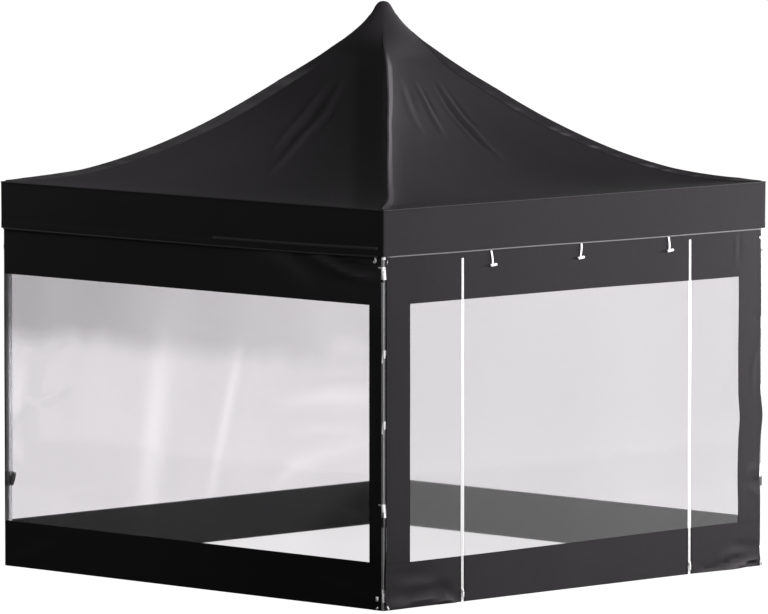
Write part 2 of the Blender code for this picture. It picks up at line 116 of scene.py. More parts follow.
# How far two of the hips stand above their even curve: distance from the axis, height
HIP_RISES = {
    1: [(0.06, 0.0), (0.12, -0.010), (0.22, -0.021), (0.37, -0.020), (0.50, -0.017), (0.63, -0.011), (0.88, -0.015),
        (1.30, -0.016), (1.60, -0.010), (1.80, 0.001), (1.97, 0.008), (2.12, 0.0)],
    3: [(0.06, 0.0), (0.12, -0.005), (0.22, -0.011), (0.35, -0.006), (0.46, 0.001), (0.58, 0.008), (0.72, 0.007),
        (0.95, 0.003), (1.20, 0.0), (1.68, 0.0), (1.80, 0.007), (1.90, 0.010), (1.99, 0.009), (2.12, 0.0)],
}
# Folds that fan from the peak patch, as lines of (across, distance from the axis), with their
# half width and height. Ridges are positive and furrows negative.
FRONT_FOLDS = [
    ([(-0.192, 0.328), (-0.222, 0.390), (-0.250, 0.470), (-0.262, 0.560)], 0.026, 0.015),
    ([(-0.140, 0.330), (-0.168, 0.385), (-0.190, 0.455)], 0.020, -0.008),
    ([(-0.070, 0.325), (-0.072, 0.390), (-0.088, 0.500), (-0.105, 0.570)], 0.019, 0.015),
    ([(-0.036, 0.330), (-0.040, 0.400), (-0.046, 0.490)], 0.014, -0.009),
    ([(0.050, 0.335), (0.058, 0.440), (0.080, 0.550), (0.075, 0.640)], 0.015, 0.008),
    ([(0.078, 0.335), (0.088, 0.440), (0.112, 0.550), (0.110, 0.680)], 0.013, -0.010),
    ([(0.104, 0.335), (0.122, 0.440), (0.150, 0.560), (0.145, 0.780)], 0.014, 0.013),
    ([(0.135, 0.340), (0.160, 0.447), (0.185, 0.550)], 0.013, -0.009),
]
SIDE_FOLDS = [
    ([(-0.110, 0.331), (-0.135, 0.436), (-0.162, 0.563), (-0.150, 0.711)], 0.022, 0.015),
    ([(-0.065, 0.345), (-0.090, 0.450), (-0.118, 0.590)], 0.018, -0.008),
    ([(-0.008, 0.321), (0.008, 0.452), (-0.020, 0.584), (0.014, 0.788), (0.036, 0.925)], 0.021, 0.017),
    ([(-0.042, 0.345), (-0.060, 0.454), (-0.086, 0.589), (-0.058, 0.741)], 0.018, -0.011),
    ([(0.045, 0.350), (0.052, 0.483), (0.058, 0.620)], 0.018, -0.007),
]
# The same folds as painted highlights and painted shade: lighter and darker lines on the cloth
FRONT_PAINTED_LINES = [
    ([(-0.172, 0.328), (-0.200, 0.380), (-0.228, 0.461), (-0.245, 0.550)], 0.026, 0.30),
    ([(-0.116, 0.329), (-0.141, 0.383), (-0.158, 0.448)], 0.015, -0.12),
    ([(-0.052, 0.330), (-0.053, 0.388), (-0.069, 0.510), (-0.080, 0.555)], 0.016, 0.34),
    ([(-0.025, 0.325), (-0.032, 0.407), (-0.030, 0.478)], 0.011, -0.16),
    ([(0.062, 0.400), (0.078, 0.480), (0.095, 0.600)], 0.012, 0.10),
    ([(0.082, 0.335), (0.092, 0.440), (0.118, 0.550), (0.125, 0.700)], 0.014, -0.18),
    ([(0.118, 0.335), (0.140, 0.440), (0.170, 0.567), (0.160, 0.776)], 0.012, 0.20),
    ([(0.140, 0.340), (0.168, 0.440), (0.192, 0.540)], 0.011, -0.14),
    ([(0.160, 0.350), (0.192, 0.440), (0.215, 0.520)], 0.012, 0.10),
]
SIDE_PAINTED_LINES = [
    ([(-0.110, 0.331), (-0.135, 0.436), (-0.162, 0.563), (-0.150, 0.711)], 0.023, 0.30),
    ([(-0.006, 0.321), (0.010, 0.452), (-0.020, 0.584), (0.014, 0.788), (0.036, 0.925)], 0.025, 0.36),
    ([(-0.042, 0.345), (-0.062, 0.454), (-0.089, 0.589), (-0.061, 0.741)], 0.018, -0.20),
    ([(0.030, 0.350), (0.046, 0.483), (0.050, 0.620)], 0.017, -0.14),
]


# Settings that a user would change


def setting(name, description, default, low, high, **kind):
    return FloatProperty(name=name, description=description, default=default, min=low, max=high, **kind)


def length(name, description, default, low, high):
    return setting(name, description, default, low, high, unit="LENGTH")


def power(name, description, default, high=5000.0):
    return setting(name, "Strength of the " + description, default, 0.0, high, unit="POWER")


class TentShape(bpy.types.PropertyGroup):
    """Sizes of the soft parts and trims."""

    cloth_thickness: length("Cloth thickness", "Thickness of the coated cloth", 0.0014, 0.0005, 0.004)
    film_thickness: length("Film thickness", "Thickness of the clear window film", 0.0008, 0.0003, 0.003)
    fold_share: setting("Roof folds", "Share of the full height of the folds below the peak",
                        1.0, 0.0, 2.0, subtype="FACTOR")
    film_ripple: length("Film ripple", "Height of the waves in the wide windows", 0.0030, 0.0, 0.01)
    hip_strip_width: length("Hip strip", "Width of the strip sewn beside each hip", 0.088, 0.02, 0.15)
    corner_radius: length("Corner radius", "Rounding of the roof's and the valance's corners", 0.007, 0.002, 0.05)
    stitch_pitch: length("Stitch pitch", "Distance from one stitch to the next", 0.009, 0.003, 0.03)
    stitch_length: length("Stitch length", "Length of one stitch", 0.0062, 0.002, 0.02)
    tooth_pitch: length("Zip tooth pitch", "Distance from one zip tooth to the next", 0.005, 0.002, 0.02)
    noise_seed: IntProperty(
        name="Seed", description="Chooses the waves of the cloth and film", default=4, min=0, max=99)


def colour_setting(name, description, default):
    return FloatVectorProperty(
        name=name, description=description, subtype="COLOR", size=3,
        default=linear(default), min=0.0, max=1.0)


def linear(code):
    """The linear colour of an sRGB hex value."""
    parts = [int(code[i : i + 2], 16) / 255 for i in (1, 3, 5)]
    return tuple(c / 12.92 if c <= 0.04045 else ((c + 0.055) / 1.055) ** 2.4 for c in parts)


class TentColours(bpy.types.PropertyGroup):
    """Colours of the finishes."""

    cloth: colour_setting("Cloth", "Coated polyester of the roof and walls", "#232123")
    cloth_faded: colour_setting("Cloth, faded", "The lighter patches of the same cloth", "#272527")
    # Mixed in by each strip's point value; along the near hip this lighter grey is a painted highlight
    strip: colour_setting("Strip", "Smooth strips sewn over the hips", "#474547")
    piping: colour_setting("Piping", "Piping of the eaves and hems", "#3c3a3c")
    # Painted shade: the inside is made darker than the cloth to stand for the shade inside the tent, which the films,
    # casting no shadow, don't give
    cloth_inside_painted_shade: colour_setting("Cloth, inside", "The darker coating on the inside of the cloth", "#0a090a")
    film: colour_setting("Film", "Clear window film", "#fbf9fb")
    trim: colour_setting("Trim", "Webbing and toggles", "#e9e8e9")
    zip_tape: colour_setting("Zip", "Tape and teeth of the zips", "#d4d3d4")
    rope: colour_setting("Rope edge", "The grey rope edge under the valance", "#605e60")
    aluminium: colour_setting("Aluminium", "Anodised tubes and bars", "#7e7e80")
    nylon: colour_setting("Nylon", "Moulded brackets", "#1c1c1e")
    thread: colour_setting("Thread", "Sewing thread", "#252325")


class TentStage(bpy.types.PropertyGroup):
    """Floor, light and camera."""

    floor_glow: setting("Floor glow", "How brightly the lit studio floor shows", 1.02, 0.0, 2.0)
    key_strength: power("Key light", "large low light at the front right", 700.0, 20000.0)
    near_key_strength: power("Near key light", "low light nearer the right end", 450.0)
    front_strength: power("Front light", "light straight in front", 620.0)
    right_strength: power("Right light", "light on the right wall", 300.0)
    hip_strength: power("Hip light", "small light over the near hip", 24.0, 500.0)
    left_strength: power("Left light", "weak light high on the left", 28.0, 500.0)
    glint_strength: power("Leg glint", "light on the legs' left faces only", 300.0)
    rear_strength: power("Rear light", "two small lights over the far left corner", 18.0, 500.0)
    shade: setting("Shade", "Light of the room on the sides that no lamp reaches", 0.10, 0.0, 2.0)


# Node and mesh helpers


def add_node(tree, kind, values=None, links=None, **settings):
    """A node with its settings, its sockets' values and the outputs that run into it."""
    made = tree.nodes.new(kind)
    for name, value in settings.items():
        setattr(made, name, value)
    for socket, value in (values or {}).items():
        made.inputs[socket].default_value = value
    for socket, output in (links or {}).items():
        tree.links.new(output, made.inputs[socket])
    return made


def new_material(name, colour, roughness, **principled):
    """A material with its Principled shader's own values; returns its tree and that shader too."""
    material = bpy.data.materials.new(name)
    material.use_nodes = True
    tree = material.node_tree
    shader = tree.nodes["Principled BSDF"]
    shader.inputs["Base Color"].default_value = (*colour, 1.0)
    shader.inputs["Roughness"].default_value = roughness
    for socket, value in principled.items():
        shader.inputs[socket.replace("_", " ")].default_value = value
    return material, tree, shader


def plain_mesh(name, points, faces=(), edges=()):
    mesh = bpy.data.meshes.new(name)
    mesh.from_pydata(points, list(edges), list(faces))
    return mesh


def set_uvs(mesh, uvs):
    for loop, uv in zip(mesh.uv_layers.new(name="cloth").data, uvs):
        loop.uv = uv


def set_values(mesh, name, values):
    """Stores a value on each of a mesh's points, under a name that a finish reads."""
    for item, value in zip(mesh.attributes.new(name, "FLOAT", "POINT").data, values):
        item.value = value


def upward(face):
    return face.normal.z


def outward(face):
    return face.normal.dot(face.calc_center_median())


def face_out(mesh, way=None, recalculate=False):
    """Turns a mesh's faces outward, or all of them the way that a function calls positive."""
    bm = bmesh.new()
    bm.from_mesh(mesh)
    if recalculate:
        bmesh.ops.recalc_face_normals(bm, faces=bm.faces)
    if way and sum(way(face) for face in bm.faces) < 0:
        bmesh.ops.reverse_faces(bm, faces=bm.faces)
    bm.to_mesh(mesh)
    bm.free()


def fastened(piece, slot, *nodes):
    """The piece on the tent's body, in place of the nodes that it stands for, which are hidden. slot is not used."""
    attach(piece, "tent")
    if nodes:
        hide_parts(*nodes)
    return piece


def new_object(name, mesh, material):
    obj = bpy.data.objects.new(name, mesh)
    bpy.context.scene.collection.objects.link(obj)
    mesh.materials.clear()
    mesh.materials.append(material)
    return obj


def dressed(name, mesh, material, slot, *nodes):
    """A mesh as a piece on the tent's body."""
    return fastened(new_object(name, mesh, material), slot, *nodes)


def finished(obj):
    """The object with its modifiers turned into plain mesh."""
    graph = bpy.context.evaluated_depsgraph_get()
    mesh = bpy.data.meshes.new_from_object(obj.evaluated_get(graph))
    obj.modifiers.clear()
    old = obj.data
    obj.data = mesh
    bpy.data.meshes.remove(old)
    return obj


def steps(breaks, pitch):
    """Positions from the first break to the last, through every break, at most pitch apart."""
    found = [breaks[0]]
    for low, high in zip(breaks, breaks[1:]):
        count = max(1, math.ceil((high - low) / pitch - 1e-6))
        found += [low + (high - low) * i / count for i in range(1, count + 1)]
    return found


def turned(point, side):
    """A point of the front side, carried round to another side."""
    return Matrix.Rotation(math.radians(SIDES[side]), 3, "Z") @ Vector(point)


def grid_mesh(name, columns, rows, place, keep=None, uv=None):
    """A grid of quads with UVs in metres. place(column, row) is a point; keep leaves cells out."""
    wide = len(columns)
    points = [place(c, r) for r in rows for c in columns]
    faces, corners = [], []
    for j in range(len(rows) - 1):
        for i in range(wide - 1):
            middle = ((columns[i] + columns[i + 1]) / 2, (rows[j] + rows[j + 1]) / 2)
            if keep is None or keep(*middle):
                faces.append((j * wide + i, j * wide + i + 1, (j + 1) * wide + i + 1, (j + 1) * wide + i))
                corners.append(((i, j), (i + 1, j), (i + 1, j + 1), (i, j + 1)))
    mesh = plain_mesh(name, points, faces)
    uv = uv or (lambda u, v: (u, v))
    set_uvs(mesh, [uv(columns[i], rows[j]) for face in corners for i, j in face])
    return mesh


def joined(name, meshes, merge=1e-5):
    """One mesh from several, with points closer than merge made one and no loose ones left."""
    bm = bmesh.new()
    for mesh in meshes:
        bm.from_mesh(mesh)
        bpy.data.meshes.remove(mesh)
    if merge:
        bmesh.ops.remove_doubles(bm, verts=bm.verts, dist=merge)
    loose = [v for v in bm.verts if not v.link_faces]
    bmesh.ops.delete(bm, geom=loose, context="VERTS")
    mesh = bpy.data.meshes.new(name)
    bm.to_mesh(mesh)
    bm.free()
    return mesh


def swept(name, points, rings, across, closed=False):
    """A closed skin over rings of points, one ring at each of a line's points. Its UV runs along
    the line in metres, and across(k) is where face k of a ring starts and ends the other way."""
    count, sides = len(rings), len(rings[0])
    faces, uvs, run = [], [], [0.0]
    for a, b in zip(points, points[1:] + points[:1]):
        run.append(run[-1] + (b - a).length)
    for i in range(count if closed else count - 1):
        for k in range(sides):
            j, m = (i + 1) % count, (k + 1) % sides
            faces.append((i * sides + k, i * sides + m, j * sides + m, j * sides + k))
            start, end = across(k)
            uvs += [(start, run[i]), (end, run[i]), (end, run[i + 1]), (start, run[i + 1])]
    if not closed:
        faces += [tuple(reversed(range(sides))), tuple(range((count - 1) * sides, count * sides))]
        uvs += [(0.0, 0.0)] * (2 * sides)
    mesh = plain_mesh(name, [point for ring in rings for point in ring], faces)
    set_uvs(mesh, uvs)
    face_out(mesh, recalculate=True)
    return mesh


def tube_mesh(name, points, radius, sides=8, closed=False):
    """A round tube along points."""
    points = [Vector(p) for p in points]
    count = len(points)
    rings, side = [], None
    for i, point in enumerate(points):
        before = points[i - 1] if (i or closed) else point
        after = points[(i + 1) % count] if (i < count - 1 or closed) else point
        along = (after - before).normalized()
        if side is None:
            side = along.orthogonal().normalized()
        side = (side - along * side.dot(along)).normalized()
        other = along.cross(side)
        angles = [2 * math.pi * k / sides for k in range(sides)]
        rings.append([point + radius * (math.cos(angle) * side + math.sin(angle) * other) for angle in angles])
    wide = 2 * math.pi * radius / sides
    mesh = swept(name, points, rings, lambda k: (k * wide, (k + 1) * wide), closed)
    mesh.shade_smooth()
    return mesh


def ribbon_mesh(name, points, across, width, thickness):
    """A flat strap along points. across gives its width's direction at each point."""
    points = [Vector(p) for p in points]
    rings = []
    for i, point in enumerate(points):
        along = (points[min(i + 1, len(points) - 1)] - points[max(i - 1, 0)]).normalized()
        wide = Vector(across[i]).normalized()
        face = along.cross(wide).normalized()
        rings.append([point + wide * (w * width / 2) + face * (t * thickness / 2)
                      for w, t in ((-1, -1), (1, -1), (1, 1), (-1, 1))])
    return swept(name, points, rings, lambda k: (0.0, width))


def thicken(obj, thickness, offset=0.0, inside=None):
    solid = obj.modifiers.new("thickness", "SOLIDIFY")
    solid.thickness = thickness
    solid.offset = offset
    solid.use_even_offset = False
    if inside:
        obj.data.materials.append(inside)
        solid.material_offset = 1
        solid.material_offset_rim = 0
    finished(obj)
    obj.data.set_sharp_from_angle(angle=math.radians(40))
    return obj


def smooth_step(value, low, high):
    """Rises from 0 at low to 1 at high."""
    share = min(max((value - low) / (high - low), 0.0), 1.0)
    return share * share * (3.0 - 2.0 * share)


def fall(value, low, high):
    """Falls from 1 at low to 0 at high."""
    return 1.0 - smooth_step(value, low, high)


def bell(value, centre, width):
    """1 at the centre, and near 0 from two widths away."""
    return math.exp(-(((value - centre) / width) ** 2))


def waves(x, y, z):
    """A smooth value between -1 and 1 that wanders from place to place, the same in each run."""
    return noise.noise(Vector((x, y, z)))


def crease(x, y, lines):
    """Height at a point of folds given as lines, each with a half width and a height."""
    total = 0.0
    for points, width, height in lines:
        nearest, at = 1e9, 0.0
        spans = len(points) - 1
        for k in range(spans):
            (ax, ay), (bx, by) = points[k], points[k + 1]
            dx, dy = bx - ax, by - ay
            t = ((x - ax) * dx + (y - ay) * dy) / (dx * dx + dy * dy)
            t = min(max(t, 0.0), 1.0)
            gap = (x - ax - t * dx) ** 2 + (y - ay - t * dy) ** 2
            if gap < nearest:
                nearest, at = gap, (k + t) / spans
        if nearest < 9.0 * width * width:
            taper = math.sin(math.pi * (0.06 + 0.88 * at)) ** 0.7
            total += height * taper * math.exp(-nearest / (width * width))
    return total


# Finishes


def make_materials():
    """All the finishes, by name."""
    colours = bpy.context.scene.tent_colours
    return {
        "cloth": coated_polyester("woven_coated_polyester", colours.cloth, colours.cloth_faded),
        # The inside of the cloth, darkened as painted shade
        "cloth_inside_painted_shade": coated_polyester("polyester_inside_painted_shade", colours.cloth_inside_painted_shade, colours.cloth_inside_painted_shade),
        # Its lighter grey along the near hip is a painted highlight
        "strip": strip_with_painted_highlight(colours),
        "film": clear_film("clear_vinyl_film", colours, 0.985, 1.0, 0.96, 1.32),
        "film_door": clear_film("clear_vinyl_film_hazy", colours, 0.952, 0.76, 0.73, 1.32),
        # Its tint holds painted shade and painted reflections
        "film_left": clear_film("clear_vinyl_film_painted_shade_and_reflections", colours, 0.996, 1.0, 0.45, 1.20),
        "trim": white_webbing("white_polyester_webbing", colours.trim),
        "zip_tape": white_webbing("white_zip_tape", colours.zip_tape),
        "rope": white_webbing("grey_polyester_rope", colours.rope),
        "teeth": zip_nylon(colours),
        "piping": coated_polyester("polyester_piping", colours.piping, colours.piping),
        "thread": sewing_thread(colours),
        "aluminium": anodised_aluminium(colours),
        "nylon": moulded_nylon(colours),
        "zinc": zinc_steel(),
    }


def noise_node(tree, coordinates, scale, detail, **values):
    values = {"Scale": scale, "Detail": detail, **values}
    return add_node(tree, "ShaderNodeTexNoise", values, {"Vector": coordinates}).outputs["Fac"]


def bump_node(tree, strength, distance, height, under=None):
    """A bump from a height, on top of another bump's normal where one is given."""
    links = {"Height": height} if under is None else {"Height": height, "Normal": under}
    return add_node(
        tree, "ShaderNodeBump", {"Strength": strength, "Distance": distance}, links).outputs["Normal"]


def mixed(tree, share, first, second):
    return add_node(
        tree, "ShaderNodeMix", {6: (*first, 1.0), 7: (*second, 1.0)}, {0: share}, data_type="RGBA").outputs[2]


def stored(tree, name):
    return add_node(tree, "ShaderNodeAttribute", attribute_name=name).outputs["Fac"]


def weave_height(tree, coordinates, pitch):
    """Crossed threads as a height from 0 to 1. pitch is the distance between threads in metres."""
    scale = 2 * math.pi / (20 * pitch)
    warp, weft = (
        add_node(tree, "ShaderNodeTexWave", {"Scale": scale}, {"Vector": coordinates}, bands_direction=way)
        for way in "XY")
    return add_node(
        tree, "ShaderNodeMath", None, {0: warp.outputs["Fac"], 1: weft.outputs["Fac"]}, operation="MULTIPLY"
    ).outputs[0]


def coated_polyester(name, colour, faded_colour):
    """Woven Oxford polyester with a coated back: matt black, with a faint weave, small crinkles from being packed, and
    slightly faded patches. A mesh's own point value lightens or darkens it by that share: painted light and painted
    shade along folds, across the roof's gores and on the walls."""
    material, tree, shader = new_material(name, colour, 0.82, Specular_IOR_Level=0.07)
    place = add_node(tree, "ShaderNodeTexCoord").outputs
    faded = mixed(tree, noise_node(tree, place["Object"], 2.2, 3.0, Roughness=0.55), colour, faded_colour)
    # Painted light and shade: the stored share scales the colour
    share = add_node(tree, "ShaderNodeMath", {1: 1.0}, {0: stored(tree, "tone")}, operation="ADD")
    toned = add_node(
        tree, "ShaderNodeVectorMath", None, {0: faded, "Scale": share.outputs[0]}, operation="SCALE")
    tree.links.new(toned.outputs["Vector"], shader.inputs["Base Color"])
    # The real thread is about 0.5 mm; at 3 mm it still shows in a close view.
    weave = weave_height(tree, place["UV"], WEAVE_PITCH)
    coarse = bump_node(tree, 0.35, 0.004, noise_node(tree, place["Object"], 16.0, 4.0, Roughness=0.5))
    tree.links.new(bump_node(tree, 0.30, 0.0004, weave, coarse), shader.inputs["Normal"])
    return material


def strip_with_painted_highlight(colours):
    """The same polyester, pressed smooth for the sewn strips on the hips, turned from the cloth's colour towards a
    lighter grey by the mesh's own point value, from 0 to 1. Along the near hip that grey is a painted highlight, along
    the front right hip a row of painted highlights on the puckers, and on the other hips mostly the strip's own lighter
    grey."""
    material, tree, shader = new_material(
        "polyester_strip_with_painted_highlight", colours.strip, 0.78, Specular_IOR_Level=0.08)
    place = add_node(tree, "ShaderNodeTexCoord").outputs
    tree.links.new(mixed(tree, stored(tree, "strip_grey_and_highlight"), colours.cloth, colours.strip), shader.inputs["Base Color"])
    weave = weave_height(tree, place["UV"], WEAVE_PITCH)
    coarse = bump_node(tree, 0.30, 0.003, noise_node(tree, place["Object"], 28.0, 3.0))
    tree.links.new(bump_node(tree, 0.25, 0.0003, weave, coarse), shader.inputs["Normal"])
    return material


def clear_film(name, colours, clearness, lightest, darkest, index):
    """Calendered PVC film: clear and faintly grey, with a soft haze. The mesh's own point value sets how much light
    gets through at each place: a random tint on most films, and on the left wall's film painted shade and painted
    reflections. A low index keeps the two close faces from mirroring more than the real film does."""
    material, tree, shader = new_material(
        name, colours.film, 0.03, Transmission_Weight=clearness, IOR=index)
    dark, light = (tuple(c * share for c in colours.film) for share in (darkest, lightest))
    tree.links.new(mixed(tree, stored(tree, "sheen"), dark, light), shader.inputs["Base Color"])
    return material


def white_webbing(name, colour):
    """Woven polyester webbing, tape or rope: pale, matt, with a ribbed weave about 2 mm apart."""
    material, tree, shader = new_material(name, colour, 0.70, Specular_IOR_Level=0.3)
    weave = weave_height(tree, add_node(tree, "ShaderNodeTexCoord").outputs["UV"], 0.002)
    tree.links.new(bump_node(tree, 0.35, 0.0004, weave), shader.inputs["Normal"])
    return material


def grained(name, colour, roughness, scale, strength, distance, **principled):
    """A moulded, spun or plated finish, with fine bumps all over."""
    material, tree, shader = new_material(name, colour, roughness, **principled)
    place = add_node(tree, "ShaderNodeTexCoord").outputs["Object"]
    tree.links.new(bump_node(tree, strength, distance, noise_node(tree, place, scale, 2.0)), shader.inputs["Normal"])
    return material


def zip_nylon(colours):
    """Injected nylon zip teeth: white, with a dull gloss and faint moulding marks."""
    return grained("moulded_zip_nylon", colours.zip_tape, 0.40, 900.0, 0.15, 0.0001, IOR=1.53)


def sewing_thread(colours):
    """Bonded polyester thread, slightly lighter than the cloth, with a dull sheen."""
    return grained("bonded_polyester_thread", colours.thread, 0.65, 1500.0, 0.3, 0.0001, Specular_IOR_Level=0.12)


def moulded_nylon(colours):
    """Glass-filled nylon from a spark-eroded mould: black, with a fine dull grain."""
    return grained("glass_filled_nylon", colours.nylon, 0.48, 700.0, 0.3, 0.0002, IOR=1.53)


def zinc_steel():
    """Zinc-plated steel rivets and bolts: bluish grey metal with a cloudy shine."""
    return grained("zinc_plated_steel", linear("#b9bdc2"), 0.33, 300.0, 0.2, 0.0001, Metallic=1.0)


def anodised_aluminium(colours):
    """Extruded, satin-anodised aluminium: pale grey, with draw lines along the tube and small
    scuffs where the sleeves slide."""
    material, tree, shader = new_material("anodised_aluminium", colours.aluminium, 0.60, Metallic=1.0)
    place = add_node(tree, "ShaderNodeTexCoord").outputs["Object"]
    long_lines = add_node(tree, "ShaderNodeMapping", {"Scale": (400.0, 400.0, 3.0)}, {"Vector": place})
    lines = noise_node(tree, long_lines.outputs["Vector"], 1.0, 2.0)
    rougher = add_node(
        tree, "ShaderNodeMapRange", {"From Min": 0.3, "From Max": 0.7, "To Min": 0.52, "To Max": 0.68},
        {"Value": noise_node(tree, place, 35.0, 5.0, Roughness=0.65)})
    tree.links.new(rougher.outputs["Result"], shader.inputs["Roughness"])
    tree.links.new(bump_node(tree, 0.12, 0.0002, lines), shader.inputs["Normal"])
    return material


def studio_floor(glow):
    """Seamless pale paper, lit so brightly that it shows as nearly white."""
    material, tree, shader = new_material("studio_paper", linear("#3f3f3f"), 0.9)
    shader.inputs["Specular IOR Level"].default_value = 0.0
    shader.inputs["Emission Color"].default_value = (1.0, 1.0, 1.0, 1.0)
    shader.inputs["Emission Strength"].default_value = glow
    material.cycles.emission_sampling = "NONE"
    return material


# Repeated details, made by Geometry Nodes


def node_group(name, inputs):
    """A geometry tree with a Geometry socket each way and the named inputs; returns its own
    inputs' sockets and its output node too."""
    tree = bpy.data.node_groups.new(name, "GeometryNodeTree")
    face = tree.interface
    face.new_socket("Geometry", in_out="OUTPUT", socket_type="NodeSocketGeometry")
    for label, kind, value in [("Geometry", "NodeSocketGeometry", None), *inputs]:
        socket = face.new_socket(label, in_out="INPUT", socket_type=kind)
        if value is not None:
            socket.default_value = value
    return tree, add_node(tree, "NodeGroupInput").outputs, add_node(tree, "NodeGroupOutput")


def spaced_points(tree, given):
    """Points at the tree's pitch along a wire."""
    line = add_node(tree, "GeometryNodeMeshToCurve", None, {"Mesh": given["Geometry"]})
    return add_node(
        tree, "GeometryNodeResampleCurve", None,
        {"Curve": line.outputs["Curve"], "Length": given["Pitch"]}, mode="LENGTH").outputs["Curve"]


def turn_towards(tree, direction):
    """The turn that points a shape's Z axis along a direction."""
    return add_node(
        tree, "FunctionNodeAlignRotationToVector", None, {"Vector": direction}, axis="Z").outputs["Rotation"]


def size_node(tree, x, z, y=None):
    """A size from sockets. y is a plain number, or else the same as x."""
    if y is None:
        return add_node(tree, "ShaderNodeCombineXYZ", None, {"X": x, "Y": x, "Z": z}).outputs["Vector"]
    return add_node(tree, "ShaderNodeCombineXYZ", {"Y": y}, {"X": x, "Z": z}).outputs["Vector"]


def stitch_tree():
    """Small round stitches along the lines of a wire mesh."""
    tree, given, out = node_group("stitches_along_seam", [
        ("Pitch", "NodeSocketFloat", 0.009), ("Stitch Length", "NodeSocketFloat", 0.006),
        ("Stitch Width", "NodeSocketFloat", 0.0014), ("Material", "NodeSocketMaterial", None)])
    spaced = spaced_points(tree, given)
    facing = turn_towards(tree, add_node(tree, "GeometryNodeInputTangent").outputs["Tangent"])
    stitch = add_node(tree, "GeometryNodeMeshIcoSphere", {"Radius": 0.5, "Subdivisions": 1})
    size = size_node(tree, given["Stitch Width"], given["Stitch Length"])
    finish_tree(tree, given, out, spaced, stitch, Rotation=facing, Scale=size)
    return tree


def teeth_tree():
    """Zip teeth along a wire, turn by turn left and right of it."""
    tree, given, out = node_group("zip_teeth_along_chain", [
        ("Pitch", "NodeSocketFloat", 0.005), ("Tooth Width", "NodeSocketFloat", 0.005),
        ("Tooth Height", "NodeSocketFloat", 0.003), ("Side Step", "NodeSocketVector", (0.0016, 0.0, 0.0)),
        ("Material", "NodeSocketMaterial", None)])
    spaced = spaced_points(tree, given)
    index = add_node(tree, "GeometryNodeInputIndex")
    odd = add_node(tree, "ShaderNodeMath", {1: 2.0}, {0: index.outputs["Index"]}, operation="MODULO")
    way = add_node(
        tree, "ShaderNodeMath", {1: 2.0, 2: -1.0}, {0: odd.outputs[0]}, operation="MULTIPLY_ADD")
    step = add_node(
        tree, "ShaderNodeVectorMath", None, {0: given["Side Step"], "Scale": way.outputs[0]}, operation="SCALE")
    moved = add_node(
        tree, "GeometryNodeSetPosition", None, {"Geometry": spaced, "Offset": step.outputs["Vector"]})
    size = size_node(tree, given["Tooth Width"], given["Tooth Height"], 0.0022)
    tooth = add_node(tree, "GeometryNodeMeshCube", None, {"Size": size})
    finish_tree(tree, given, out, moved.outputs["Geometry"], tooth)
    return tree


def rivet_tree():
    """Domed heads on loose points, each along its point's own facing direction."""
    tree, given, out = node_group("rivet_heads_on_points", [
        ("Radius", "NodeSocketFloat", 0.006), ("Height", "NodeSocketFloat", 0.0025),
        ("Material", "NodeSocketMaterial", None)])
    facing = add_node(tree, "GeometryNodeInputNamedAttribute", {"Name": "facing"}, data_type="FLOAT_VECTOR")
    turn = turn_towards(tree, facing.outputs["Attribute"])
    head = add_node(tree, "GeometryNodeMeshUVSphere", {"Segments": 12, "Rings": 6, "Radius": 1.0})
    size = size_node(tree, given["Radius"], given["Height"])
    finish_tree(tree, given, out, given["Geometry"], head, Rotation=turn, Scale=size)
    return tree


def finish_tree(tree, given, out, points, shape, **links):
    """Sets the shape out on the points, as real smooth mesh in the tree's material."""
    instances = add_node(
        tree, "GeometryNodeInstanceOnPoints", None, {"Points": points, "Instance": shape.outputs["Mesh"], **links})
    real = add_node(
        tree, "GeometryNodeRealizeInstances", None, {"Geometry": instances.outputs["Instances"]})
    smooth = add_node(tree, "GeometryNodeSetShadeSmooth", None, {"Geometry": real.outputs["Geometry"]})
    painted = add_node(
        tree, "GeometryNodeSetMaterial", None,
        {"Geometry": smooth.outputs["Geometry"], "Material": given["Material"]})
    tree.links.new(painted.outputs["Geometry"], out.inputs["Geometry"])


def grown(name, mesh, tree, material, **values):
    """A piece from a wire or points by a tree, as plain mesh. values are the tree's named inputs."""
    obj = new_object(name, mesh, material)
    modifier = obj.modifiers.new("repeat", "NODES")
    modifier.node_group = tree
    known = {
        item.name: item.identifier
        for item in tree.interface.items_tree
        if item.item_type == "SOCKET" and item.in_out == "INPUT"
    }
    modifier[known["Material"]] = material
    for label, value in values.items():
        modifier[known[label.replace("_", " ")]] = value
    return finished(obj)


def wire_mesh(name, lines):
    """Edges only, through each list of points."""
    verts, edges = [], []
    for line in lines:
        start = len(verts)
        verts += [Vector(p) for p in line]
        edges += [(start + i, start + i + 1) for i in range(len(line) - 1)]
    return plain_mesh(name, verts, edges=edges)


def sewn(name, lines, material):
    """Rows of stitches along lines, as one piece on the tent."""
    shape = bpy.context.scene.tent_shape
    tree = bpy.data.node_groups.get("stitches_along_seam") or stitch_tree()
    piece = grown(
        name, wire_mesh(name, lines), tree, material,
        Pitch=shape.stitch_pitch, Stitch_Length=shape.stitch_length)
    fastened(piece, "polyester_cloth")


# Roof


def hip_height(reach):
    """Height of the roof on a hip, at a level distance from the peak's axis."""
    if reach < 0.080:
        return crown_height(reach)
    left = 1.0 - reach / HIP_LENGTH
    slope = SLOPE_SHARE * max(left, 0.0) ** SLOPE_POWER
    neck = NECK_RISE * math.exp(-(reach - DOME_RADIUS) / NECK_REACH)
    return EAVE_HEIGHT + (PEAK_HEIGHT - EAVE_HEIGHT) * (slope + neck)


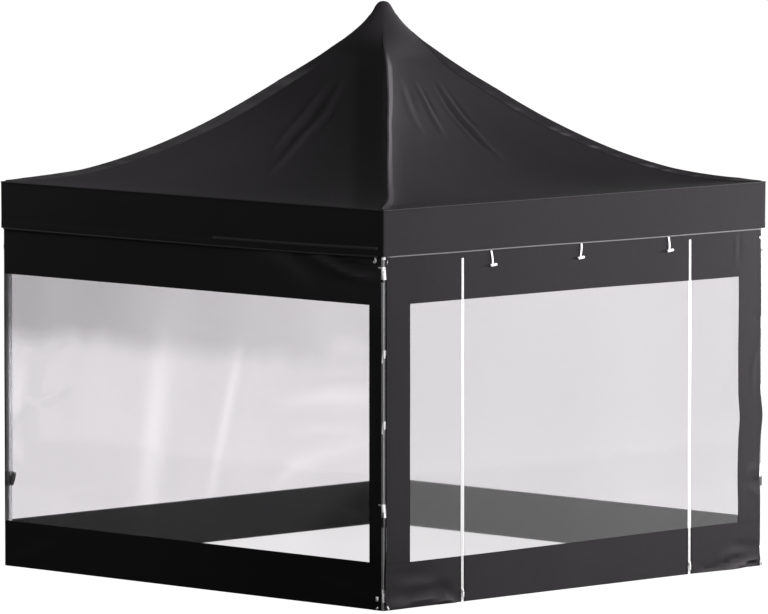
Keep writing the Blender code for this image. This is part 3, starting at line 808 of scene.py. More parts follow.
def crown_height(reach):
    """Height of the cloth over the mast cap, on a smooth line through the points of CROWN."""
    reach = abs(reach)
    at = max(i for i in range(len(CROWN) - 2) if CROWN[i][0] <= reach)
    (x0, y0), (x1, y1) = CROWN[at], CROWN[at + 1]
    (xa, ya), (xb, yb) = CROWN[max(at - 1, 0)], CROWN[at + 2]
    slope_in = (y1 - ya) / (x1 - xa) if at else 0.0
    slope_out = (yb - y0) / (xb - x0)
    t, wide = (reach - x0) / (x1 - x0), x1 - x0
    return ((1 + 2 * t) * (1 - t) ** 2 * y0 + t * (1 - t) ** 2 * wide * slope_in
            + t * t * (3 - 2 * t) * y1 + t * t * (t - 1) * wide * slope_out)


def roof_point(reach, across):
    """A point of the front gore: across runs from -1 to 1, reach is level, along the hips."""
    corner = reach / math.sqrt(2)
    share = reach / HIP_LENGTH
    bow = GORE_BOW * 5.4 * share**1.5 * (1.0 - share) * (1.0 - across**2)
    flat = Vector((across * corner, bow - corner))
    angle = across * math.pi / 4
    round_ = Vector((reach * math.sin(angle), -reach * math.cos(angle)))
    squared = smooth_step(reach, ROUND_UNTIL, SQUARE_FROM)
    level = round_.lerp(flat, squared)
    return Vector((level.x, level.y, hip_height(reach)))


def hip_drift(corner, reach):
    """How far a hip runs beside its ideal line, seen from outside, to the right."""
    fade = smooth_step(reach, 0.20, 0.45) * fall(reach, 1.8, 2.1)
    wave = waves(reach * 3.1, 7.3 * corner, 0.5)
    mean = 0.029 if corner == 0 else 0.0
    return fade * (mean + 0.006 * wave)


def hip_rise(corner, reach):
    """How far a hip stands above its even curve, on straight lines through HIP_RISES."""
    points = HIP_RISES.get(corner, [(0.0, 0.0), (3.0, 0.0)])
    for (low, start), (high, end) in zip(points, points[1:]):
        if low <= reach <= high:
            return start + (end - start) * (reach - low) / (high - low)
    return 0.0


def roof_surface(side, reach, across):
    """A point on the outside of the roof of one side, with its folds and the hips' drift."""
    point = roof_point(reach, across)
    lines = FRONT_FOLDS if side in ("front", "back") else SIDE_FOLDS
    fold = crease(point.x, -point.y, lines) if 0.35 < reach < 1.5 else 0.0
    fold *= bpy.context.scene.tent_shape.fold_share * (0.62 if side in ("front", "back") else 1.0)
    seed = SIDES[side] / 90.0 * 5.0
    billow = 0.004 * waves(point.x * 2.3, point.y * 2.3, seed)
    billow *= smooth_step(reach, 0.3, 0.7) * (1.0 - across**4) * fall(reach, 1.9, 2.1)
    patch = 0.0009 * fall(reach, 0.575, 0.605) * smooth_step(reach, 0.10, 0.2)
    from_hip = (1.0 - abs(across)) * reach / math.sqrt(2)
    gather = (0.0045 if across > 0 else 0.0015) * waves(reach * 17.0, seed, 0.4)
    gather *= bell(from_hip, 0.026, 0.017)
    gather *= smooth_step(reach, 0.40, 0.60) * fall(reach, 1.3, 1.7)
    sag = -0.016 * (1.0 - math.exp(-from_hip / 0.10))
    sag *= smooth_step(reach, 0.58, 0.95) * fall(reach, 1.85, 2.10)
    lift = fold + billow + patch + gather + sag
    lean = math.atan2(hip_height(reach - 0.01) - hip_height(reach + 0.01), 0.02 / math.sqrt(2))
    point += lift * Vector((0.0, -math.sin(lean), math.cos(lean)))
    number = SIDES[side] // 90
    for edge, corner in ((-1, number), (1, (number + 1) % 4)):
        near = math.exp(-(((across - edge) * reach / math.sqrt(2)) ** 2) / 0.15**2)
        away = Vector((math.sqrt(0.5), edge * math.sqrt(0.5), 0.0))
        point += away * hip_drift(corner, reach) * near
        point.z += hip_rise(corner, reach) * near
    radius = bpy.context.scene.tent_shape.corner_radius
    inner = ROOF_HALF - radius
    over = Vector((max(abs(point.x) - inner, 0.0), max(-point.y - inner, 0.0)))
    if over.x > 0.0 and over.y > 0.0 and over.length > radius:
        over *= radius / over.length
        point.x = math.copysign(inner + over.x, point.x)
        point.y = -(inner + over.y)
    return turned(point, side)


def roof_tone(side, x, y, z):
    """How much painted light or shade the roof's cloth gets at a place, as a share: painted highlights and shade along
    its folds, painted light on the crown, and painted light and shade across the gores. The front and back gores are
    painted lightest beside their left hip, the others away from their right hip."""
    at = min(max(x / max(-y, 0.01), -1.0), 1.0)
    low = fall(z, 2.25, 2.75)
    # Painted light on the crown, weaker on the right gore
    crown = 0.42 * smooth_step(z, 2.90, 3.02)
    below = fall(z, 2.70, 2.95)
    # Front and back gores: painted fold lines, painted light in the middle and left of it low down, painted shade
    # towards the right hip, a little lighter over the peak patch
    if side in ("front", "back"):
        lines = crease(x, -y, FRONT_PAINTED_LINES)
        middle = 0.16 * bell(z, 2.57, 0.14) * fall(at, 0.1, 0.6)
        lighter = 0.16 * bell(at, -0.45, 0.30) - 0.10 * fall(at, -1.0, -0.7)
        patch = 0.10 * smooth_step(z, 2.55, 2.75)
        return crown + patch + lines + middle + low * (lighter - 0.22 * smooth_step(at, 0.0, 0.6))
    # Side gores: painted fold lines, painted shade beside the right hip and painted light away from it low down
    if side == "right":
        crown *= 0.3
    lines = crease(x, -y, SIDE_PAINTED_LINES)
    beside = -y - x
    darker = 0.12 * fall(beside, 0.02, 0.08) - 0.50 * fall(beside, 0.16, 0.28)
    far = 0.95 * fall(at, -0.75, 0.65) + 0.15 * fall(at, -1.0, -0.8)
    return crown + lines + darker * below + far * low


def make_roof_cover(mats):
    """One continuous cover: four curved gores, folds below the peak patch, and an eave that runs out level, with
    rounded corners.
    """
    shape = bpy.context.scene.tent_shape
    across = steps([-1.0, -0.92], 0.016)[:-1] + steps([-0.92, -0.45], 0.03)[:-1]
    across += steps([-0.45, 0.45], 0.0135)[:-1] + steps([0.45, 0.92], 0.03)[:-1]
    across += steps([0.92, 1.0], 0.016)
    reaches = [0.0] + steps([0.004, 0.060], 0.005)
    reaches += steps([0.064, 0.12], 0.008) + steps([0.135, 0.58], 0.020)
    reaches += steps([0.585, 0.605], 0.005) + steps([0.62, 2.10], 0.022) + [2.112, 2.1195]
    gores = []
    for side in SIDES:
        gores.append(grid_mesh(
            "gore", across, reaches, lambda u, r, s=side: roof_surface(s, r, u),
            uv=lambda u, r: (u * r / math.sqrt(2), r * 0.86)))
    mesh = joined("roof_cover", gores)
    # Painted light and shade, stored on each point of the cover
    tones = mesh.attributes.new("tone", "FLOAT", "POINT").data
    for item, vertex in zip(tones, mesh.vertices):
        for side in SIDES:
            x, y, z = Matrix.Rotation(-math.radians(SIDES[side]), 3, "Z") @ vertex.co
            if -y >= abs(x) - 1e-6:
                item.value = roof_tone(side, x, y, z)
    mesh.shade_smooth()
    face_out(mesh, upward, recalculate=True)
    cover = new_object("roof_cover", mesh, mats["cloth"])
    thicken(cover, shape.cloth_thickness, -1.0, mats["cloth_inside_painted_shade"])
    fastened(cover, "polyester_cloth", "roof_skin")


def make_mast_cap(mats):
    """The mushroom on the mast that carries the peak, just under the settled cloth."""
    outline = [(0.93 * r, crown_height(r) - 0.0024) for r in (0.0, 0.010, 0.020, 0.029, 0.036, 0.042)]
    outline += [(0.0430, 3.1040), (0.0430, 3.0840), (0.0400, 3.0815), (0.0230, 3.0755), (0.0230, 3.0515), (0.0, 3.0515)]
    sides = 32
    verts, faces = [], []
    for r, z in outline:
        for k in range(sides):
            angle = 2 * math.pi * k / sides
            verts.append((r * math.cos(angle), r * math.sin(angle), z))
    for i in range(len(outline) - 1):
        for k in range(sides):
            m = (k + 1) % sides
            faces.append((i * sides + k, (i + 1) * sides + k, (i + 1) * sides + m, i * sides + m))
    mesh = joined("mast_mushroom", [plain_mesh("mast_mushroom", verts, faces)])
    mesh.shade_smooth()
    mesh.set_sharp_from_angle(angle=math.radians(40))
    dressed("mast_mushroom", mesh, mats["nylon"], "bracket_nylon", "mast_cap")


def strip_grey_and_painted_highlight(corner, reach, offset):
    """How much of the strip's lighter grey shows at a place beside a hip, from 0 to 1. Beside the near hip it is a
    painted highlight: a line that is wider near the peak, and a fainter one on the strip's sewn edge. Beside the front
    right hip it is a row of painted highlights on the puckers, and on the other two hips the strip is lighter nearly
    all over."""
    wide = fall(reach, 0.74, 0.92)
    half = 0.013 + 0.012 * wide
    line = smooth_step(offset, -0.030, -0.008) * fall(offset - 0.022, half, half + 0.030)
    line *= smooth_step(reach, 0.29, 0.42) * (1.0 - 0.55 * smooth_step(reach, 0.85, 1.75))
    edge = 0.14 * bell(offset, 0.081, 0.005) * smooth_step(reach, 0.42, 0.60)
    if corner:
        spots = waves(reach * 22.0, corner * 9.0, 0.5)
        if corner == 1:
            row = bell(offset, 0.070, 0.018)
            return 0.02 + 1.3 * max(spots, 0.0) * row * smooth_step(reach, 0.60, 0.75)
        all_over = 0.80 + 0.15 * smooth_step(offset, 0.045, 0.080)
        return all_over * (1.0 + 0.5 * spots) * smooth_step(reach, 0.42, 0.60)
    return max(line, edge, 0.04)


def strip_way(corner):
    """1 where a hip's strip lies to the right of the hip, seen from outside, and -1 to the left."""
    return -1 if corner == 1 else 1


def hip_strip_point(corner, reach, offset):
    """A point of the sewn strip on a hip, offset to the right of the hip seen from outside."""
    names = list(SIDES)
    side, edge = (names[corner], -1) if offset >= 0 else (names[corner - 1], 1)
    across = edge * (1.0 - min(abs(offset) * math.sqrt(2) / reach, 0.9))
    point = roof_surface(side, reach, across)
    near = roof_surface(side, reach + 0.004, across) - point
    beside = roof_surface(side, reach, across * 0.995) - point
    normal = near.cross(beside).normalized()
    if normal.z < 0:
        normal.negate()
    return point, normal


# Where a strip's points lie across it, as shares of its width from the hip
STRIP_SHARES = [
    -0.20, -0.14, -0.07, 0.0, 0.06, 0.12, 0.18, 0.24, 0.30, 0.36, 0.42, 0.50, 0.60, 0.72, 0.82, 0.87,
    0.92, 0.96, 1.0,
]


def strip_place(corner, reach, share):
    """A point of a hip's strip, lifted off the roof, with its puckers."""
    wide = bpy.context.scene.tent_shape.hip_strip_width * (0.10 + 0.90 * smooth_step(reach, 0.16, 0.52))
    point, normal = hip_strip_point(corner, reach, share * wide * strip_way(corner))
    pucker = waves(reach * 22.0, corner * 9.0, share * 0.7)
    lift = 0.0016 + 0.0014 * pucker * share**2 + (0.0030 if share < 0 else 0.0)
    if corner == 1:
        lift = 0.0020 + 0.0060 * pucker * math.sin(math.pi * max(share, 0.0))
    if share in (STRIP_SHARES[0], STRIP_SHARES[-1]):
        lift = 0.0006
    lift *= smooth_step(reach, 0.15, 0.30)
    return point + normal * lift


def make_hip_strips(mats):
    """A doubled strip over each hip, with puckers along its seams."""
    width = bpy.context.scene.tent_shape.hip_strip_width
    reaches = steps([0.16, 2.095], 0.012)
    strips, seams, strip_greys_and_highlights = [], [], []
    for corner in range(4):
        strips.append(grid_mesh(
            "strip", STRIP_SHARES, reaches, lambda share, reach, c=corner: strip_place(c, reach, share),
            uv=lambda share, reach: (share * width, reach)))
        for at in (-0.15, 0.92):
            seam = []
            for reach in reaches[24:]:
                point, normal = hip_strip_point(corner, reach, at * width * strip_way(corner))
                seam.append(point + normal * 0.0024)
            seams.append(seam)
        strip_greys_and_highlights += [strip_grey_and_painted_highlight(corner, reach, share * width) for reach in reaches for share in STRIP_SHARES]
    mesh = joined("hip_strips", strips, 0)
    set_values(mesh, "strip_grey_and_highlight", strip_greys_and_highlights)
    mesh.shade_smooth()
    face_out(mesh, upward)
    strip = new_object("hip_strips", mesh, mats["strip"])
    thicken(strip, 0.0011, -1.0)
    fastened(strip, "polyester_cloth")
    sewn("hip_stitches", seams, mats["thread"])


def make_patch_seam(mats):
    """A row of stitches round the doubled patch at the peak."""
    sunk = Vector((0, 0, 0.0005))
    lines = [[roof_surface(side, PATCH_REACH, across) - sunk for across in steps([-0.93, 0.93], 0.02)]
             for side in SIDES]
    sewn("patch_stitches", lines, mats["thread"])


# Valance


def perimeter(half, radius):
    """Points round a rounded square, from the front left corner past the front, with their side."""
    points = []
    inner = half - radius
    for number, side in enumerate(SIDES):
        for x in steps([-inner, inner], 0.02):
            points.append((turned((x, -half, 0.0), side), turned((0.0, -1.0, 0.0), side)))
        for k in range(1, 6):
            angle = math.pi / 2 * k / 6
            out = Vector((math.sin(angle), -math.cos(angle), 0.0))
            points.append((
                turned((inner + radius * out.x, -inner + radius * out.y, 0.0), side),
                turned(out, side)))
    return points


def valance_move(place, z):
    """The valance's own waves: how far out it hangs, and how its lower edge rises and falls."""
    low = (EAVE_HEIGHT - z) / VALANCE_HEIGHT
    seed = bpy.context.scene.tent_shape.noise_seed
    slow = waves(place.x * 1.7, place.y * 1.7, seed + z * 0.6)
    quick = waves(place.x * 5.1, place.y * 5.1, seed + 9.0)
    return low * (0.0022 * slow + 0.0010 * quick) - 0.0012 * low


def valance_point(point, out, z, proud):
    """A place on the valance at a height, some way proud of a point of the perimeter."""
    moved = point + out * (valance_move(point, z) + proud)
    return Vector((moved.x, moved.y, z + edge_wave(point) * (EAVE_HEIGHT - z) / VALANCE_HEIGHT))


def make_valance(mats):
    """One band of cloth round the eave, with a hem, piping at the top and stitches."""
    shape = bpy.context.scene.tent_shape
    ring = perimeter(ROOF_HALF - 0.0008, shape.corner_radius)
    heights = steps([VALANCE_BOTTOM, VALANCE_BOTTOM + 0.030], 0.006)
    heights += steps([VALANCE_BOTTOM + 0.034, 2.120], 0.02) + [2.132, EAVE_HEIGHT - 0.0035]
    count = len(ring)
    run = [0.0]
    for (a, _), (b, _) in zip(ring, ring[1:] + ring[:1]):
        run.append(run[-1] + (b - a).length)

    def place(i, z):
        hem = 0.0008 if z < VALANCE_BOTTOM + 0.031 else 0.0
        return valance_point(*ring[int(i) % count], z, hem)

    mesh = grid_mesh("valance_band", list(range(count + 1)), heights, place,
                     uv=lambda i, z: (run[min(int(i), count)], z))
    mesh = joined("valance_band", [mesh])
    mesh.shade_smooth()
    face_out(mesh, outward)
    band = new_object("valance_band", mesh, mats["cloth"])
    thicken(band, shape.cloth_thickness, -1.0, mats["cloth_inside_painted_shade"])
    fastened(band, "polyester_cloth", *[f"valance_{side}" for side in SIDES])
    top = [p + out * 0.0006 + Vector((0, 0, EAVE_HEIGHT - 0.0030)) for p, out in ring]
    mesh = tube_mesh("eave_piping", top, 0.0026, 6, True)
    dressed("eave_piping", mesh, mats["piping"], "polyester_cloth")
    seams = [[valance_point(point, out, z, 0.0006) for point, out in ring + ring[:1]]
             for z in (VALANCE_BOTTOM + 0.027, EAVE_HEIGHT - 0.011)]
    sewn("valance_stitches", seams, mats["thread"])


def edge_wave(point):
    """How far the valance's lower edge is lifted at a place on the perimeter."""
    near_front_left = math.exp(-((point.x + 1.5) ** 2 + (point.y + 1.5) ** 2) / 0.5**2)
    wave = waves(point.x * 1.1, point.y * 1.1, 3.7)
    middle = bell(point.x, -0.45, 0.75) if point.y < -1.4 else 0.0
    return 0.009 * near_front_left + 0.002 * wave + 0.008 * middle


# Walls. Each is drawn as the front one: across to the right, then height.


FRONT_CREASES = [
    ([(-1.47, 0.018), (-1.36, 0.024), (-1.25, 0.038), (-1.15, 0.042), (-1.06, 0.022)], 0.016, 0.020),
    ([(-1.08, 0.022), (-0.995, 0.020), (-0.945, -0.002)], 0.014, 0.022),
    ([(-1.47, 0.046), (-1.40, 0.048), (-1.32, 0.052)], 0.014, 0.014),
    ([(-1.035, 0.038), (-1.005, 0.030)], 0.012, 0.014),
    ([(-1.36, 0.066), (-1.20, 0.086), (-1.10, 0.088), (-1.02, 0.078), (-0.965, 0.056)], 0.016, -0.010),
    ([(-1.12, 0.112), (-1.04, 0.106), (-0.98, 0.090)], 0.022, -0.007),
    ([(-1.40, 0.140), (-1.25, 0.140), (-1.12, 0.134)], 0.024, 0.010),
    ([(-1.46, 0.196), (-1.32, 0.200), (-1.15, 0.190)], 0.024, -0.005),
    ([(0.95, -0.004), (1.10, 0.000), (1.20, 0.006), (1.28, 0.014), (1.36, 0.036), (1.46, 0.042)], 0.014, 0.020),
    ([(1.17, 0.006), (1.26, 0.012), (1.33, 0.018)], 0.018, 0.018),
    ([(0.98, 0.022), (1.07, 0.026), (1.15, 0.030), (1.24, 0.052), (1.33, 0.066)], 0.012, -0.013),
    ([(1.345, 0.020), (1.40, 0.018), (1.46, 0.014)], 0.010, -0.016),
    ([(1.12, 0.080), (1.22, 0.098), (1.34, 0.106)], 0.018, 0.009),
    ([(1.24, 0.132), (1.34, 0.122), (1.46, 0.118)], 0.018, -0.011),
    ([(1.45, 0.560), (1.38, 0.555), (1.34, 0.520)], 0.020, 0.008),
    ([(1.34, 0.465), (1.42, 0.480), (1.46, 0.500)], 0.016, -0.010),
    ([(1.45, 0.400), (1.42, 0.425), (1.37, 0.440)], 0.018, 0.007),
    ([(1.37, 1.415), (1.43, 1.400), (1.46, 1.380)], 0.012, -0.007),
    ([(1.45, 1.230), (1.41, 1.120), (1.40, 0.960)], 0.014, 0.005),
    ([(1.270, 1.700), (1.268, 1.800), (1.270, 1.870)], 0.011, 0.005),
    ([(1.294, 1.700), (1.292, 1.800), (1.294, 1.870)], 0.010, -0.007),
]
SIDE_CREASES = [
    ([(0.60, 1.870), (0.78, 1.820), (0.92, 1.740), (1.02, 1.660)], 0.050, 0.018),
    ([(0.96, 1.876), (1.10, 1.834), (1.20, 1.800), (1.33, 1.774), (1.46, 1.778)], 0.024, 0.030),
    ([(0.82, 1.860), (1.00, 1.800), (1.12, 1.755), (1.30, 1.735)], 0.030, -0.018),
    ([(1.12, 1.862), (1.24, 1.840), (1.40, 1.832)], 0.018, -0.016),
    ([(-1.44, 0.040), (-1.25, 0.100), (-1.05, 0.160)], 0.022, 0.006),
    ([(1.44, 0.060), (1.25, 0.110), (1.02, 0.150)], 0.022, 0.006),
    ([(1.42, 1.30), (1.43, 1.00), (1.42, 0.70)], 0.020, 0.005),
]
# Painted reflections on the left wall's film, with a few darker painted lines: lines of (across, height), a half width
# and how much more light gets through
LEFT_FILM_PAINTED_REFLECTIONS = [
    ([(-0.205, 1.34), (-0.240, 1.113), (-0.272, 0.845), (-0.312, 0.58), (-0.33, 0.30)], 0.085, 0.26),
    ([(0.405, 1.36), (0.361, 1.206), (0.297, 0.981), (0.233, 0.757), (0.150, 0.45)], 0.038, 0.22),
    ([(-1.340, 1.18), (-1.371, 0.982), (-1.420, 0.84)], 0.065, 0.18),
    ([(-1.400, 0.70), (-1.350, 0.60)], 0.050, 0.12),
    ([(-1.450, 0.76), (-1.290, 0.90)], 0.028, -0.08),
    ([(1.080, 1.37), (1.230, 1.40), (1.460, 1.38)], 0.060, 0.13),
    ([(0.940, 1.19), (1.200, 1.22), (1.440, 1.24)], 0.025, -0.07),
    ([(0.690, 1.06), (1.083, 1.121), (1.460, 1.14)], 0.045, 0.16),
    ([(0.780, 0.91), (1.050, 0.945), (1.330, 0.96)], 0.030, 0.07),
    ([(0.640, 0.58), (0.800, 0.72), (1.011, 0.80), (1.420, 0.91)], 0.045, 0.12),
]
SIDE_FILM_CREASES = [
    ([(-0.26, 1.300), (-0.24, 0.900), (-0.27, 0.400)], 0.035, 0.0045),
    ([(0.28, 1.500), (0.31, 1.000), (0.27, 0.500)], 0.022, 0.0035),
    ([(-1.40, 1.250), (-1.36, 1.000), (-1.37, 0.750)], 0.020, -0.0045),
    ([(-1.33, 1.100), (-1.31, 0.900), (-1.33, 0.600)], 0.018, 0.0035),
    ([(0.95, 1.250), (1.15, 1.180), (1.36, 1.200)], 0.030, 0.0040),
    ([(1.00, 0.950), (1.20, 0.900), (1.36, 0.930)], 0.026, 0.0035),
]


def wall_wave(side, x, z):
    """How far out the cloth of a wall stands at a place."""
    seed = bpy.context.scene.tent_shape.noise_seed + SIDES[side] / 30.0
    slow = waves(x * 1.3, z * 1.1, seed)
    quick = waves(x * 4.2, z * 3.3, seed + 5.0)
    lines = FRONT_CREASES if side == "front" else SIDE_CREASES
    free = fall(z, *FLAT_FROM)
    return free * (0.0016 * slow + 0.0009 * quick + crease(x, z, lines) * 0.8)


def wall_tone(side, x, z):
    """How much painted light or shade the cloth of a wall gets at a place, as a share: painted highlights on the ridges
    of its folds and painted shade down in them, painted light high on the left wall and painted shade low on the left
    and back walls, and on the door wall painted lines beside the zips, a painted shadow under the windows and painted
    light and shade towards its ends."""
    fold = crease(x, z, FRONT_CREASES if side == "front" else SIDE_CREASES) * fall(z, *FLAT_FROM)
    # Painted highlights on the folds' ridges and painted shade down in them
    tone = min(max((48.0 if side == "front" else 34.0) * fold, 14.0 * fold, -0.20), 1.60)
    low = fall(z, 0.25, 0.45)
    # Painted light high on the left wall towards its near end, painted shade low down on the left and back walls
    if side == "left":
        high = smooth_step(z, 1.55, 1.65)
        tone += high * 0.42 * smooth_step(x, -0.3, 1.3) - 0.45 * low * smooth_step(x, -1.3, 1.3)
    if side == "back":
        tone -= 0.30 * low
    # Door wall: a painted highlight and a painted shadow line beside each zip, a painted shadow under the windows'
    # lower edge, painted light at the right end, painted shade at the left end
    if side == "front":
        beside_zip = abs(abs(x) - ZIP_CENTRE) - ZIP_WIDTH / 2
        fold_line = 0.12 * bell(beside_zip, 0.019, 0.005)
        fold_line -= 0.55 * bell(beside_zip, 0.010, 0.004)
        tone += low * fold_line - 0.14 * bell(z, WINDOW_BOTTOM, 0.004)
        tone += (0.18 - 0.14 * low) * smooth_step(x, 1.20, 1.35)
        tone -= (0.14 + 0.14 * low) * fall(x, -1.36, -0.72)
    return tone


def right_edge_drift(x, z):
    """The door wall's loose right end: its border bulges and draws in between the straps."""
    pull = smooth_step(x, 1.05, 1.40)
    bulge = 0.016 * bell(z, 0.84, 0.09) - 0.006 * bell(z, 0.52, 0.12)
    sway = 0.004 * waves(z * 3.0, 2.0, 8.0)
    return pull * (bulge + sway)


def wall_drop(side, x, z):
    """How far a wall's cloth hangs below its pattern: over and under the door wall's windows, and,
    the other way, under the taut window of the right wall."""
    if side == "front":
        low = 0.006 - 0.009 * smooth_step(x, -1.0, 1.2)
        return (0.006 * smooth_step(x, 0.0, 1.2) * bell(z, WINDOW_TOP, 0.15)
                + low * bell(z, WINDOW_BOTTOM, 0.10))
    if side == "right":
        return -0.013 * bell(z, WINDOW_BOTTOM, 0.10)
    return 0.0


def wall_place(side, depth, film=False):
    """Gives the function that puts (across, height) on a wall's surface."""
    def place(x, z):
        out = wall_wave(side, x, z)
        if film:
            out += film_wave(side, x, z)
        drift = 0.0
        if side == "front":
            drift = right_edge_drift(x, z)
            drift -= 0.008 * fall(x, -STRAP_GAP_END, -1.40) * fall(z, 0.16, 0.34)
        return turned((x + drift, -depth - out, z - wall_drop(side, x, z)), side)
    return place


def film_wave(side, x, z):
    """Waves of the film inside its frame of cloth; the door wall's film hangs flatter."""
    ends = FRONT_WINDOW if side == "front" else (-HEM_END, SIDE_BORDER_END)
    free = min(smooth_step(x, ends[0], ends[0] + 0.12), fall(x, ends[1] - 0.12, ends[1]))
    free *= smooth_step(z, WINDOW_BOTTOM, WINDOW_BOTTOM + 0.12)
    free *= fall(z, WINDOW_TOP - 0.12, WINDOW_TOP)
    seed = SIDES[side] / 45.0 + 20.0
    wave = waves(x * 1.9, z * 1.2, seed)
    if side == "front":
        return free * 0.0008 * wave
    ripple = bpy.context.scene.tent_shape.film_ripple
    return free * (ripple * wave + crease(x, z, SIDE_FILM_CREASES))


def film_tint_and_painted_light(side, x, z):
    """How much light the film lets through at a place, from 0 to 1, varying at random. On the left wall's film it is
    painted light: painted shade above a wavy line, strongest towards its far end, and painted reflections along the
    waves of its loose parts."""
    if side != "left":
        return 0.5 + 0.5 * waves(x * 1.3, z * 0.8, SIDES[side] / 9.0)
    # Painted shade above a wavy line across the film, strongest towards its far end
    edge = 1.27 + 0.045 * waves(x * 2.6, 1.7, 4.0) + 0.02 * waves(x * 8.0, 3.1, 4.0)
    above = 0.5 - 0.16 * smooth_step(x, -0.9, 0.0) - 0.17 * smooth_step(x, 0.3, 1.2)
    dull = above * smooth_step(z, edge - 0.06, edge + 0.12)
    soft = 0.05 * waves(x * 3.0, z * 1.6, 11.0)
    return min(max(0.60 - dull + soft + crease(x, z, LEFT_FILM_PAINTED_REFLECTIONS), 0.0), 1.0)


def wall_piece(name, side, xs, zs, material, keep=None, film=False, sizes=None):
    """A piece of a wall's cloth or film. sizes are the depth of its middle and its thickness,
    where they aren't the usual ones."""
    shape = bpy.context.scene.tent_shape
    usual = (FILM_DEPTH, shape.film_thickness) if film else (WALL_DEPTH, shape.cloth_thickness)
    depth, thickness = sizes or usual
    mesh = grid_mesh(name, xs, zs, wall_place(side, depth, film), keep)
    shade, value = ("sheen", film_tint_and_painted_light) if film else ("tone", wall_tone)
    set_values(mesh, shade, [value(side, x, z) for z in zs for x in xs])
    mesh = joined(name, [mesh])
    mesh.shade_smooth()
    face_out(mesh, outward)
    piece = new_object(name, mesh, material)
    thicken(piece, thickness, 0.0, None if film else finishes()["cloth_inside_painted_shade"])
    fastened(piece, "clear_film" if film else "polyester_cloth")
    if film:
        piece.visible_shadow = piece.visible_diffuse = False
    return piece


def hang(cloth, node, window):
    """Hides the solid node of a wall whose cloth, already made, hangs round its window. cloth and window are not used.
    """
    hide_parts(node)


def make_window_wall(side, ends, window, mats):
    """A wall of one wide window in a frame of cloth, with its hems' stitches."""
    xs = steps([ends[0], window[0], window[1], ends[1]], 0.022)
    zs = steps([WALL_BOTTOM, WINDOW_BOTTOM, WINDOW_TOP, WALL_TOP], 0.022)

    def keep(x, z):
        return not (window[0] < x < window[1] and WINDOW_BOTTOM < z < WINDOW_TOP)

    hang(wall_piece(f"wall_{side}", side, xs, zs, mats["cloth"], keep), f"wall_{side}_cloth", window)
    fxs = steps([window[0] - FILM_LAP, window[1] + FILM_LAP], 0.02)
    fzs = steps([WINDOW_BOTTOM - FILM_LAP, WINDOW_TOP + FILM_LAP], 0.02)
    material = mats["film_left" if side == "left" else "film"]
    film = wall_piece(f"film_{side}", side, fxs, fzs, material, film=True)
    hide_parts(f"wall_{side}_window")
    sew_wall(side, border_lines(ends, window), mats)


def level(z, start, end):
    """A seam's line at one height, as (across, height)."""
    return [(x, z) for x in steps([start, end], SEAM_STEP)]


def upright(x, low, high):
    return [(x, z) for z in steps([low, high], SEAM_STEP)]


def sew_wall(side, lines, mats):
    """Stitches on the outside of a wall's cloth."""
    place = wall_place(side, WALL_DEPTH + bpy.context.scene.tent_shape.cloth_thickness / 2 + 0.0002)
    sewn(f"stitches_{side}", [[place(x, z) for x, z in line] for line in lines], mats["thread"])


def border_lines(ends, window):
    """Stitch lines beside a window's edges and along the wall's hems."""
    left, right = window[0] - SEAM_GAP, window[1] + SEAM_GAP
    low, high = WINDOW_BOTTOM - SEAM_GAP, WINDOW_TOP + SEAM_GAP
    lines = [
        level(high, left, right), level(low, left, right), upright(right, low, high),
        level(WALL_BOTTOM + HEM, ends[0] + 0.01, ends[1] - 0.01),
    ]
    if left - ends[0] > 0.012:
        lines.append(upright(left, low, high))
    for end, edge, way in ((ends[0], window[0], 1), (ends[1], window[1], -1)):
        if abs(end - edge) > 0.05:
            lines.append(upright(end + way * HEM, WALL_BOTTOM + 0.02, SEAM_TOP))
    return lines


